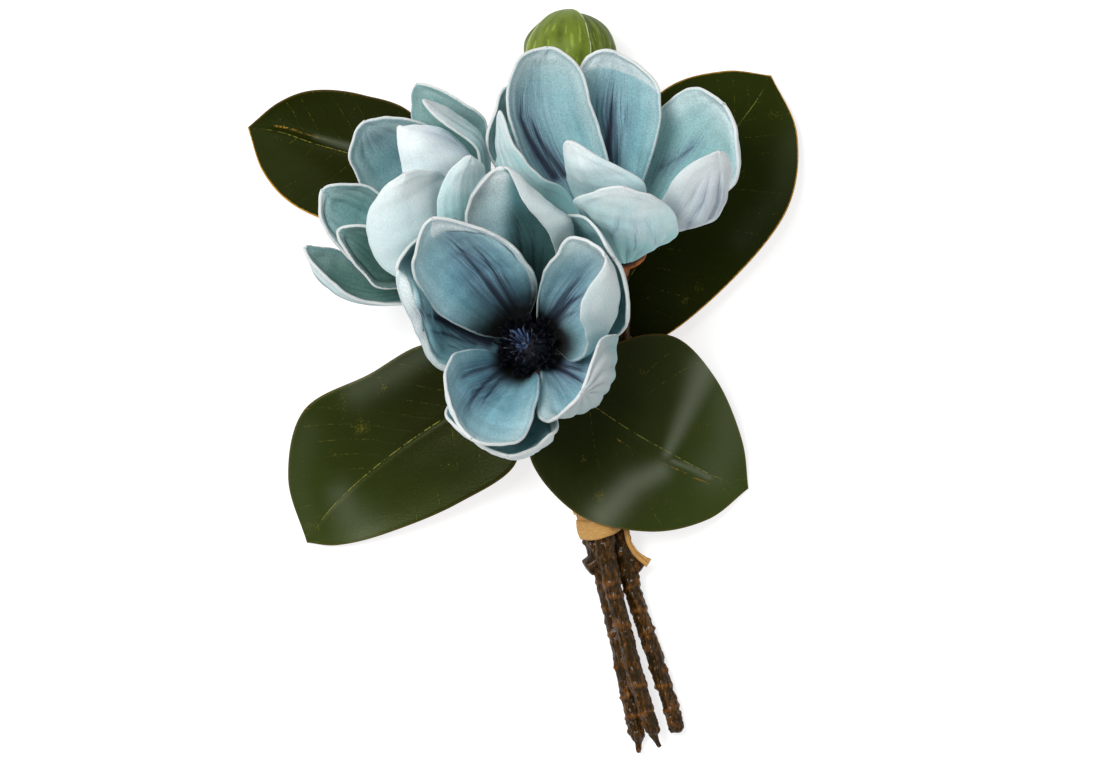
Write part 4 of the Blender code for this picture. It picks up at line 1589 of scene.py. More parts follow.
@dataclass
class Bark:
    """The ridged, ringed skin of one tube along a route."""

    route: Route
    rings: tuple[float, ...]
    sides: int
    seed: float
    spacing: float = 0.6
    steps: int = 12
    centre: list[Vector] = field(default_factory=list)
    across: list[tuple[Vector, Vector]] = field(default_factory=list)

    def __post_init__(self) -> None:
        """Lay the middle line, and carry two directions across it along it without a twist."""
        points = [Vector(point) for point in self.route]
        self.steps = max(int(reaches([point.xyz for point in points])[-1] / self.spacing), self.steps)
        self.centre = [along(points, step / self.steps) for step in range(self.steps + 1)]
        first = Vector((1, 0, 0))
        for low, high in zip([self.centre[0], *self.centre], [*self.centre[1:], self.centre[-1]]):
            ahead = (high.xyz - low.xyz).normalized()
            first = (first - ahead * first.dot(ahead)).normalized()
            self.across.append((first, ahead.cross(first)))

    def place(self, column: int, step: int) -> tuple[Vector, Marks]:
        """A point of the skin, which closes round at both ends.

        Args:
            column: Which of the sides.
            step: Which step along the route.

        Returns:
            The point in millimetres and what it carries.
        """
        angle = 2 * math.pi * column / self.sides
        spot = self.centre[step]
        first, second = self.across[step]
        out = first * math.cos(angle) + second * math.sin(angle)
        bump, band = self.relief(spot, out, angle)
        close = math.sqrt(1 - (1 - min(step / 3, (self.steps - step) / 3, 1.0)) ** 2)
        skin = spot.xyz + out * (spot.w + bump * min(spot.w / 3.5, 1.0)) * close
        skin.z = max(skin.z, 0.1)
        return skin, {"height": 0.5 + bump, "ring": band}

    def relief(self, spot: Vector, out: Vector, angle: float) -> tuple[float, float]:
        """The bark's height over its tube at a place, and how much a ring shows there.

        Args:
            spot: The centre of the tube there, in millimetres.
            out: The direction outwards.
            angle: The angle round the tube.

        Returns:
            The height in millimetres and the ring's share.
        """
        lump = noise.noise(spot.xyz * 0.16 + out * 1.2 + Vector((self.seed, 0, 0)))
        ridge = 1 - abs(lumps(out.x * 2.6, out.z * 2.6 + self.seed, spot.y * 0.10)) * 2.6
        knob = max(lumps(out.x * 2.2, out.z * 2.2 + self.seed, spot.y * 0.34) - 0.12, 0.0)
        flake = lumps(out.x * 4.5, out.z * 4.5, spot.y * 0.75 + self.seed)
        height = 0.50 * lump + 0.42 * ridge * abs(ridge) + 1.2 * knob + 0.42 * flake - 0.35
        band = 0.0
        for level in self.rings:
            gap = spot.y - level - 0.8 * math.sin(angle + level) - 0.6 * lumps(out.x * 2, out.z * 2, level)
            band = max(band, bell(gap / 0.9))
            height += 0.42 * bell(gap / 0.9) - 0.25 * bell((gap + 1.8) / 0.8)
        return height, band


@dataclass
class Stem:
    """One stem: its route from the cut end to its bloom, its twigs and stubs, and its bark rings."""

    name: str
    route: Route
    twigs: tuple[Route, ...]
    rings: tuple[float, ...]
    sides: int = 44
    twig_sides: int = 20

    def build(self, shop: Workshop) -> None:
        """Build and seat the stem with its twigs.

        Args:
            shop: Where it is finished.
        """
        parts = [self.bark(self.name, self.route, self.sides)]
        for number, twig in enumerate(self.twigs):
            parts.append(self.bark(f"{self.name}_{number}", twig, self.twig_sides))
        shop.seat(joined(parts, self.name + "_look"), BarkFinish(), self.name)

    def bark(self, name: str, route: Route, sides: int) -> Piece:
        """A closed tube of bark along a route."""
        bark = Bark(route, self.rings, sides, random.Random(name).uniform(0, 90))
        return woven(name, sides, bark.steps, bark.place, closed=True)

    def centre_at(self, level: float) -> Vector:
        """The stem's centre and radius where it passes a given y.

        Args:
            level: The y.

        Returns:
            The place with the radius as the fourth number.
        """
        route = [Vector(point) for point in self.route]
        low = max((index for index in range(len(route) - 1) if route[index].y <= level), default=0)
        return route[low].lerp(route[low + 1], (level - route[low].y) / (route[low + 1].y - route[low].y))


@dataclass(frozen=True)
class Strand:
    """One flat strand of the band: the y of its middle, half its width, its lift and its crown."""

    middle: float
    half: float
    lift: float
    crown: float
    seed: float
    sag: float = 0.028
    sag_middle: float = 27.5
    columns: int = 12

    def place(self, ring: list[Vector], column: int, row: int) -> tuple[Vector, Marks]:
        """A point of the strand, wound once round the stems.

        Args:
            ring: The outline round the stems, closed, as x, z and the angle that each point faces.
            column: How far across, from 0 to the strand's columns.
            row: Which point of the outline.

        Returns:
            The point in millimetres and what it carries.
        """
        side = 2 * column / self.columns - 1
        spot = ring[row % (len(ring) - 1)]
        facing = Vector((math.cos(spot.z), math.sin(spot.z)))
        shift = self.sag * (spot.x - self.sag_middle) ** 2 + side * self.half
        shift += 0.22 * lumps(facing.x * 1.5, facing.y * 1.5, self.seed)
        ripple = 0.16 * lumps(side * 3.5, facing.x * 0.8, self.seed)
        edge = spot.xy + facing * (self.lift + self.crown * (1 - side * side) + ripple)
        marks = {"along": 8 * abs(row / (len(ring) - 1) - 0.5), "across": side, "seed": self.seed}
        return Vector((edge.x - 0.2 * shift, self.middle + shift, max(edge.y, 0.25))), marks


@dataclass(frozen=True)
class TailStrip:
    """One strip of the loose tail: its number, its shift and half width at its end, and how low it lies."""

    number: int
    shift: float
    width: float
    drop: float
    columns: int = 6
    rows: int = 60

    def place(self, centre: list[Vector], column: int, row: int) -> tuple[Vector, Marks]:
        """A point of the strip, which widens and curls to its cut end.

        Args:
            centre: The points of the tail's middle line.
            column: How far across, from 0 to the strip's columns.
            row: How far along, from 0 to its rows.

        Returns:
            The point in millimetres and what it carries.
        """
        side = 2 * column / self.columns - 1
        share = row / self.rows
        ahead = along(centre, min(share + 0.02, 1.0)) - along(centre, max(share - 0.02, 0.0))
        half = self.width * (0.55 + 0.45 * share) + 0.15 * lumps(share * 9, self.number, side)
        move = Vector((ahead.y, -ahead.x, 0)).normalized() * (side * half + self.shift * share * share)
        move.z += 0.35 * (side * side - 0.3) + self.drop + 0.3 * lumps(share * 5, side, self.number + 7.0)
        jag = 1.2 * share ** 20 * lumps(side * 6, self.number * 3.0, 1.0)
        marks = {"along": share * 3, "across": side, "seed": self.number * 5.0}
        return along(centre, share) + move + ahead.normalized() * jag, marks


@dataclass
class Tie:
    """The band of raffia round the three stems, with its loose tail."""

    stems: tuple[Stem, ...]
    clearance: float = 0.45
    turns: int = 170
    fine_turns: int = 720
    strands: tuple[Strand, ...] = (
        Strand(-62.3, 4.0, 0.55, 0.60, 0.0), Strand(-57.3, 1.4, -0.05, 0.05, 3.7),
        Strand(-54.4, 2.1, 0.50, 0.35, 7.4), Strand(-51.6, 1.6, 0.30, 0.25, 11.1))
    strand_thickness: float = 0.4
    tail: tuple[Place, ...] = ((41.2, -57.5, 13.1), (43.0, -62.5, 12.4), (44.3, -67.5, 11.8),
                               (46.9, -71.6, 11.2), (49.9, -74.1, 10.2), (52.6, -75.8, 9.4))
    strips: tuple[TailStrip, ...] = (
        TailStrip(0, 0.0, 1.5, 0.0), TailStrip(1, 1.2, 0.9, 0.3), TailStrip(2, -1.0, 0.7, -0.2))
    strip_thickness: float = 0.35

    def hull(self, level: float, angle: float) -> Vector:
        """The point of the outline round the stems that faces a direction.

        Args:
            level: The y at which the stems are cut.
            angle: The direction.

        Returns:
            The point as x, z and the angle.
        """
        ahead = Vector((math.cos(angle), math.sin(angle)))
        cuts = [stem.centre_at(level) for stem in self.stems]
        edges = [Vector((cut.x, cut.z)) + ahead * (cut.w + self.clearance) for cut in cuts]
        return Vector((*max(edges, key=lambda edge: edge.dot(ahead)), angle))

    def outline(self, level: float) -> list[Vector]:
        """Evenly spaced points round the stems with the direction that each faces.

        Args:
            level: The y at which the stems are cut.

        Returns:
            The points as x, z and angle.
        """
        count = self.fine_turns
        fine = [self.hull(level, 2 * math.pi * step / count) for step in range(count + 1)]
        reach = reaches([spot.xy for spot in fine])
        made = []
        index = 0
        for step in range(self.turns + 1):
            wanted = reach[-1] * step / self.turns
            while index < count - 1 and reach[index + 1] < wanted:
                index += 1
            run = max(reach[index + 1] - reach[index], 1e-6)
            made.append(fine[index].lerp(fine[index + 1], (wanted - reach[index]) / run))
        return made

    def build(self, shop: Workshop) -> None:
        """Build and seat the strands of the band and its tail.

        Args:
            shop: Where it is finished.
        """
        parts = []
        for strand in self.strands:
            place = partial(strand.place, self.outline(strand.middle))
            parts.append(thickened(woven("strand", strand.columns, self.turns, place), self.strand_thickness))
        for strip in self.strips:
            place = partial(strip.place, [Vector(point) for point in self.tail])
            flat = woven("tail", strip.columns, strip.rows, place)
            parts.append(thickened(flat, self.strip_thickness))
        shop.seat(joined(parts, "raffia_tie_look"), RaffiaFinish(), "raffia_tie")


@dataclass(frozen=True)
class Sepal:
    """One foam flap of the bud: where it starts and ends in degrees, and how far each edge stands out."""

    start: float
    end: float
    start_lift: float
    end_lift: float
    folds: int
    tone: float = 0.0
    crown: float = 0.0


@dataclass
class Bud:
    """The closed green bud: an egg of overlapping pleated sepals, pressed flat where it rests."""

    centre: Place = (19.6, 139.0, 18.6)
    radius: float = 18.9
    top_length: float = 16.7
    base_length: float = 36.0
    base_cut: float = 35.0
    fold_depth: float = 0.42
    steps: int = 110
    columns: int = 14
    standing: float = 0.3
    sepals: tuple[Sepal, ...] = (
        Sepal(16, 63, 0.75, 0.05, 3, -0.32), Sepal(63, 156, 1.1, 0.95, 4, 0.0, 1.4),
        Sepal(156, 226, 0.5, 0.9, 3, -0.15), Sepal(226, 290, 0.05, 0.6, 3),
        Sepal(290, 376, 0.05, 0.05, 4, -0.3))

    def build(self, shop: Workshop) -> None:
        """Build and seat the bud.

        Args:
            shop: Where it is finished.
        """
        angles = []
        for sepal in self.sepals:
            count = self.columns * sepal.folds
            for share in (column / count for column in range(count + 1)):
                angles.append((sepal, 0.35 * (0.5 - 0.5 * math.cos(math.pi * share)) + 0.65 * share))
        start = -math.asin(self.base_cut / self.base_length)
        rise = (math.pi / 2 - start) / self.steps
        piece = woven("bud_look", len(angles), self.steps, lambda column, row: self.surface(
            *angles[column % len(angles)], start + rise * row), closed=True)
        shop.seat(piece, BudFinish(), "bud")

    def surface(self, sepal: Sepal, share: float, turn: float) -> tuple[Vector, Marks]:
        """A point of the bud's skin.

        Args:
            sepal: The flap that it is on.
            share: How far across the flap.
            turn: The angle from its widest ring, towards its tip or, below 0, its base.

        Returns:
            The point in millimetres, with how light it is painted and its distance to a standing edge.
        """
        level = math.sin(turn) * (self.base_length if turn < 0 else self.top_length)
        level += sepal.crown * smooth_step(turn, 0.4, 1.3)
        angle = math.radians(sepal.start + (sepal.end - sepal.start) * share)
        wander = Vector((math.cos(angle) * 1.3, math.sin(angle) * 1.3, level * 0.06))
        angle += 0.05 * noise.noise(wander) * math.cos(turn)
        lift = sepal.start_lift + (sepal.end_lift - sepal.start_lift) * share
        fade = smooth_step(math.cos(turn), 0.05, 0.5)
        bend = 0.5 * lumps(share * 2.3, level * 0.05, sepal.start)
        wave = 0.5 + 0.5 * math.cos(2 * math.pi * sepal.folds * (share + bend * 0.3))
        mild = 0.55 + 0.45 * lumps(share * 5.1, level * 0.07, sepal.end)
        crest = 1 - (1 - wave ** 0.6) * max(mild, 0.0)
        height = lift * (0.3 + 0.7 * fade) + self.fold_depth * (crest - 0.6) * fade * 1.5
        radius = math.cos(turn) * (self.radius + height + 0.8 * noise.noise(wander * 2.3))
        spot = Vector(self.centre) + Vector((radius * math.cos(angle), level, radius * math.sin(angle)))
        spot.z = max(spot.z, 0.02)
        width = math.radians(sepal.end - sepal.start) * max(radius, 0.01)
        sides = ((sepal.start_lift, share), (sepal.end_lift, 1 - share))
        gaps = [part * width for stands, part in sides if stands > self.standing]
        # Painted shade: darker along a flap's low edge, where its neighbour's standing edge shades it.
        dark = 0.35 * (1 - smooth_step(share, 0.0, 0.3)) if sepal.start_lift < self.standing else 0.0
        patch = 0.16 * lumps(share * 7.0, level * 0.09, sepal.start + 3.0)
        # Painted highlights: broken pale strokes below the bud's crown.
        gleam_strokes = smooth_step(lumps(share * 17.0, level * 0.16, sepal.start), 0.22, 0.50)
        gleam = 0.65 * gleam_strokes * (1 - smooth_step(level, 9.0, 15.0))
        # Painted shade in the fold troughs and painted light on the crests, over a random patchy tone.
        tone = crest * 0.40 + 0.22 + patch + gleam + sepal.tone - dark
        return spot, {"fold": tone, "seam": min(gaps, default=FAR)}


class Light(Enum):
    """The studio's soft lights: place and size in metres, what it aims at, and its power in watts."""

    KEY = ((-0.95, 0.7, 2.1), 1.2, (0.0, 0.0, 0.05), 54.0)
    FILL = ((1.5, 0.2, 1.6), 1.6, (0.0, 0.0, 0.05), 7.0)
    LOW = ((0.0, -1.5, 1.2), 1.2, (0.0, 0.0, 0.03), 7.0)


@dataclass
class Studio:
    """The floor, the lights and the camera."""

    view_width: float = 0.462
    view_centre: tuple[float, float] = (0.01092, 0.00021)
    view_height: float = 0.03
    lens: float = 1200.0
    sensor: float = 36.0
    clip_end: float = 60.0
    floor_size: float = 6.0
    floor_drop: float = 0.0002
    sky: float = 0.28

    def build(self, shop: Workshop) -> None:
        """Build everything that isn't part of the object.

        Args:
            shop: Where it is finished.
        """
        self.floor(shop)
        for light in Light:
            self.light(light)
        self.camera()
        world = bpy.data.worlds.new("studio")
        world.use_nodes = True
        background = world.node_tree.nodes["Background"]
        background.inputs["Color"].default_value = (1.0, 1.0, 1.0, 1.0)
        background.inputs["Strength"].default_value = self.sky
        scene = bpy.context.scene
        scene.world = world
        scene.view_settings.view_transform = "Standard"
        scene.view_settings.look = "None"

    def floor(self, shop: Workshop) -> None:
        """A plain pale floor.

        Args:
            shop: Where it is finished.
        """
        bm = bmesh.new()
        bmesh.ops.create_grid(bm, x_segments=1, y_segments=1, size=self.floor_size / 2)
        piece = link_mesh("floor", bm)
        piece.location.z = -self.floor_drop
        shop.dress(piece, FloorFinish())

    @staticmethod
    def light(light: Light) -> None:
        """One square soft light.

        Args:
            light: Which one it is.
        """
        place, size, target, power = light.value
        data = bpy.data.lights.new(light.name.lower(), "AREA")
        data.shape = "SQUARE"
        data.size = size
        data.energy = power
        made = link(light.name.lower(), data)
        made.location = place
        made.rotation_euler = (Vector(target) - Vector(place)).to_track_quat("-Z", "Y").to_euler()

    def camera(self) -> None:
        """A long lens straight above, so that places read from above hold at every height."""
        data = bpy.data.cameras.new("camera")
        data.lens = self.lens
        data.sensor_width = self.sensor
        data.clip_end = self.clip_end
        made = link("camera", data)
        made.location = (*self.view_centre, self.view_height + self.view_width * self.lens / self.sensor)
        bpy.context.scene.camera = made


# Rows run anticlockwise round the bloom, seen from its open side.
FRONT_BLOOM = Bloom("front", (3, 14, 42), (-0.11, 0.08, 0.99), (
    (7.4, 5.6), (9.4, 8.0), (10.3, 10.5), (9.6, 13.5), (7.6, 16.4), (4.4, 18.6), (1.4, 19.4)), (
    StamenRing(36, 7.5, 14.0, 14.0, 0.48, 0.75, lean=(-0.4, 0.8)),
    StamenRing(32, 9.5, 12.0, 17.0, 0.48, 0.75, lean=(-0.4, 0.6)),
    StamenRing(28, 12.5, 9.4, 19.3, 0.46, 0.70, lean=(-0.4, 0.4)),
    StamenRing(20, 15.5, 6.6, 20.8, 0.44, 0.62, 1.0, 0.15, (-0.4, 0.4)),
    StamenRing(15, 17.5, 9.0, 20.6, 0.32, 0.42, 0.7, 0.5, (-1.2, 1.0)),
    StamenRing(12, 17.5, 5.6, 22.8, 0.46, 0.48, 0.8, 1.0, (-2.6, 2.4)),
    StamenRing(6, 18.0, 2.4, 23.6, 0.44, 0.46, 0.9, 1.0, (-2.6, 2.4))), (
    Petal("upper_left", 130, 0, (
        ((5.5, 38, 61), (-8, 30, 52), (-20, 20.5, 61)),
        ((2, 50, 80), (-21, 46, 70), (-37, 30, 76)),
        ((-12, 62, 97), (-34, 59, 91), (-46.5, 48, 97))), (-38, 68.3, 110), (
        Streak(((-31, 60.5), (-26, 55), (-19, 46.5), (-13, 38.5), (-8, 32), (-4, 27)), 1.5, 0.95, 5.5),
        Streak(((-24, 60), (-17, 53), (-11, 44), (-7, 37), (-3, 30)), 1.4, 0.85, 5.5),
        Streak(((-12, 55), (-8, 45), (-3, 34)), 1.3, 0.55, 4.0),
        Streak(((-30, 50), (-21, 40), (-13, 32), (-7, 27)), 1.2, 0.6, 5.0)),
        tint=Tint(0.68, 0.00, dark_base=0.64, hood_highlight=8.5), lip=1.2),
    Petal("right", 47, 0, (
        ((20, 8.7, 62), (23, 20, 59), (14, 28, 54), (6.2, 38, 64)),
        ((26.5, 15.5, 87), (37, 29, 82), (27, 44, 77), (9.5, 48, 84)),
        ((24, 33, 106), (39, 39, 98), (34, 51, 94), (20, 60.3, 100))), (33.6, 52.3, 108), (
        Streak(((26, 47), (19, 39), (14, 32), (10, 26)), 2.1, 0.80, 5.0),
        Streak(((26, 38), (20, 34), (15, 29), (10, 24)), 1.7, 1.0, 4.0),
        Streak(((24, 31), (18, 28), (13, 24)), 1.4, 0.7, 3.0),
        Streak(((30, 51), (20, 45), (11, 38)), 1.1, 0.3, 4.0)),
        tint=Tint(1.20, 0.00, dark_base=0.42, dim=0.30)),
    Petal("lower_right", -37, 0, (
        ((7, 2, 58), (17, 3, 51), (25, 12, 54)),
        ((5.5, -11, 76), (30, -6, 74), (37.6, 20, 88)),
        ((10, -16.2, 95), (32.8, -4, 98), (30.5, 17, 109))), (24, -4, 112), (
        Streak(((26, -1), (20, 3), (14, 6.5), (10, 8)), 1.6, 1.0, 6.0),
        Streak(((27, 4), (20, 6.5), (14, 8)), 1.3, 0.85, 5.0),
        Streak(((17, -7), (13, -2), (9, 3)), 0.9, 0.35, 5.0)), Pleats(7.0, 0.55, 0.40, 1.1),
        tint=Tint(1.15, 0.00, outer_teal=0.9, violet=0.4, dim=0.45)),
    Petal("lower_left", -114, 0, (
        ((-17, 13.8, 62), (-8, -3, 57), (6.3, 2, 63)),
        ((-30, 11.5, 82), (-17, -11, 79), (5, -11, 84)),
        ((-32.5, -4, 100), (-22, -19.5, 100), (-2.5, -25, 104))), (-22, -23.5, 115), (
        Streak(((-27, -13), (-22, -7), (-17, -1), (-11, 4), (-4, 7.5)), 1.5, 0.85, 5.5),
        Streak(((-19, -12), (-15, -5), (-10, 1), (-4, 5)), 1.3, 0.75, 4.0),
        Streak(((-28, 1), (-22, 4.5), (-14, 6.5), (-6, 8)), 1.5, 0.75, 6.0),
        Streak(((-29, 7), (-21, 8), (-12, 9)), 1.1, 0.35, 4.0),
        Streak(((-10, -21), (-5, -9), (0, 2)), 0.7, 0.25, 1.5)),
        tint=Tint(0.70, 0.00, dark_base=0.34)),
    # The top petal carries painted light on its left side and painted shade on its right.
    Petal("top", 95, 1, (
        ((14, 45, 62), (14, 46, 58), (0, 36, 47), (-12, 36, 53)),
        ((10, 62.5, 88), (17, 65.5, 82), (-4, 60, 67), (-23, 60, 76)),
        ((0, 75, 98), (5, 79, 91), (-12, 80, 83), (-21.5, 77, 88))), (-9, 89.5, 97), (
        Streak(((-3, 72), (-2, 60), (0, 46)), 1.6, 0.6, 4.0),
        Streak(((4, 68), (4, 56), (4, 44)), 1.2, 0.6, 3.0),
        Streak(((9, 62), (8, 52), (7, 42)), 1.0, 0.4, 3.0)),
        tint=Tint(1.40, 0.15, 1.00, 0.4, dim=0.40, fade=1.0)),
    Petal("far_left", 168, 1, (
        ((-10, 30, 47), (-12, 20, 46), (-17, 9, 55), (-20, 4, 52)),
        ((-24, 46, 63), (-29, 32, 57), (-33, 15, 68), (-36.5, 7.5, 62)),
        ((-42, 60, 88), (-45, 47, 81), (-42, 33, 90), (-47.5, 25.5, 82))), (-53.5, 47, 97), (
        Streak(((-43, 29), (-34, 26.5), (-25, 22), (-15, 17)), 2.3, 1.0, 5.0),
        Streak(((-41, 22), (-31, 20), (-20, 16.5)), 1.4, 0.75, 4.0),
        Streak(((-38, 16), (-28, 15), (-18, 13)), 1.1, 0.45, 3.0)),
        tint=Tint(0.40, 0.20, 0.30), lip=-3.6),
    Petal("bottom", 262, 1, (
        ((-14, 0, 56), (-3, -6, 50), (10, -2, 51)),
        ((-26, -4, 72), (-7, -21, 66), (13, -13, 64)),
        ((-32, -15, 88), (-8, -29, 83), (12, -21, 84))), (-7, -30.5, 102),
        tint=Tint(0.45, 0.35, 0.45), lip=-1.8),
    Petal("far_right", 15, 1, (
        ((20, 12, 43), (20, 27, 46), (10, 38, 46)),
        ((39.5, 20, 72), (35, 44, 62), (14, 64, 68)),
        ((43.3, 33.5, 92), (39, 49, 84), (24, 69.5, 90))), (38, 52, 99),
        tint=Tint(0.40, 0.40, 0.15)),
))

# The two side blooms are half closed, so their stamens stand in a narrow sheaf.
RIGHT_BLOOM = Bloom("right", (39, 56, 42), (-0.05, 0.83, 0.56), (
    (3.0, 6.2), (4.2, 9.0), (4.7, 12.5), (4.3, 16.0), (2.8, 18.6), (0.9, 19.6)), (
    StamenRing(12, 11.0, 4.3, 19.0, 0.40, 0.8),
    StamenRing(6, 15.0, 2.2, 22.0, 0.38, 0.45, 1.0, 1.0)), (
    Petal("back_left", 140, 0, (
        ((37, 84, 54), (26, 80, 49), (9, 78, 57)),
        ((30.5, 110, 59), (12, 108, 49), (-7, 112, 63)),
        ((22, 133.5, 62), (9, 130, 54), (-3.5, 134, 65))), (9, 140.5, 62), (
        Streak(((-1.0, 121), (-1.2, 111), (2, 103), (6, 96), (13, 86)), 1.7, 1.0, 5.5),
        Streak(((1.5, 113), (6, 103), (11, 95), (17, 87)), 1.6, 0.9, 5.5),
        Streak(((3, 128), (5, 116), (10, 101)), 0.5, 0.40, 8.5),
        Streak(((9, 113), (12, 102), (19, 88)), 0.8, 0.35, 4.0)),
        tint=Tint(0.95, 0.30, 0.14), veined=0.4),
    Petal("back", 80, 0, (
        ((50, 84, 51), (40, 82, 43), (30, 80, 43)),
        ((57, 108, 55), (38, 108, 43), (20, 112, 43)),
        ((55, 126, 56), (39, 130, 46), (25, 134, 52))), (38.6, 138.8, 53), (
        Streak(((37.5, 125), (36.5, 113), (35.5, 100), (35, 90)), 1.7, 1.0, 7.5),
        Streak(((30, 124), (31, 108), (32, 92)), 1.4, 0.45, 4.5),
        Streak(((44, 122), (42, 108), (39, 92)), 1.6, 0.55, 6.0),
        Streak(((51, 120), (50, 108), (46, 92)), 0.7, 0.15, 3.0)),
        tint=Tint(0.60, 0.30, 0.10, hood_highlight=12.5), veined=0.5),
    Petal("back_right", 35, 1, (
        ((62, 66, 44), (57, 76, 39), (49, 82, 36)),
        ((87, 82, 60), (74, 98, 44), (52, 108, 38)),
        ((89, 101, 68), (81, 110, 53), (69, 123.5, 51))), (84, 116.5, 62), (
        Streak(((75, 101), (68, 96.5), (58, 90)), 1.1, 0.60, 4.5),
        Streak(((64, 98), (58, 92), (53, 86)), 1.5, 0.30, 4.5)),
        tint=Tint(0.95, 0.65), lip=1.3),
    Petal("front_right", 325, 0, (
        ((48, 62, 58), (56, 62, 55), (58, 68, 50)),
        ((57, 74, 82), (77, 68, 76), (76, 81, 66)),
        ((66, 88.5, 97), (82, 81, 89), (85, 91.5, 83))), (81.5, 96.5, 95), (
        Streak(((75, 86), (70, 77), (63, 69)), 0.55, 0.40, 1.5, True),
        Streak(((78, 87), (75, 76), (68, 65)), 0.90, 0.60, 3.0, True),
        Streak(((82, 86), (81, 76), (76, 65)), 1.50, 0.75, 4.0, True),
        Streak(((86, 89), (85, 80), (82, 70)), 0.90, 0.45, 2.5, True)), Pleats(3.5, 0.5, 0.1, 0.95, 0.5),
        tint=Tint(outer_teal=0.15, violet=0.35, dim=0.27), veined=0.5),
    Petal("front", 288, 1, (
        ((33, 62, 58), (43, 54, 62), (55, 58, 58)),
        ((24, 73, 80), (43, 60, 84), (64, 63, 82)),
        ((22, 77.5, 99), (42, 72, 103), (61, 73, 98))), (42, 82, 114), (
        # Painted shadows in the creases between the lobes of the lower edge, on the outer face.
        Streak(((41, 71), (39, 65), (36, 59)), 1.0, 0.50, 2.5, True),
        Streak(((45, 70), (47, 64), (47, 56)), 1.0, 0.55, 2.5, True),
        Streak(((51, 68), (54, 63), (56, 57)), 1.0, 0.50, 2.5, True)), Pleats(5.0, 0.9, -0.1, 0.75),
        tint=Tint(outer_teal=0.9, dim=0.18), veined=0.5),
    Petal("front_left", 238, 0, (
        ((28, 68, 56), (36, 64, 58), (43, 66, 58)),
        ((19.5, 81, 72), (34, 74, 78), (50, 74, 78)),
        ((17.5, 91, 88), (27, 87, 95), (48, 85, 95))), (19.5, 100.5, 103),
        tint=Tint(outer_teal=0.75, violet=0.25, dim=0.12), veined=0.5),
    Petal("lower_left", 215, 1, (
        ((15, 66, 52), (18, 66, 57), (19, 79, 66)),
        ((-8, 84, 59), (-1, 80, 67), (7, 86, 78)),
        ((-10.5, 98, 71), (-9, 97, 77), (-3.5, 98.5, 84))), (-9.5, 113.5, 82),
        tint=Tint(outer_teal=0.95, dim=0.22), veined=0.5),
    Petal("far_left", 170, 1, (
        ((24, 74, 36), (14, 72, 38), (5, 70, 43)),
        ((6, 90, 36), (-6, 92, 44), (-14.5, 95, 58)),
        ((4, 112, 39), (-8, 112, 50), (-13.3, 110, 62))), (-7, 125, 55),
        tint=Tint(0.45, 0.60, 0.20)),
))

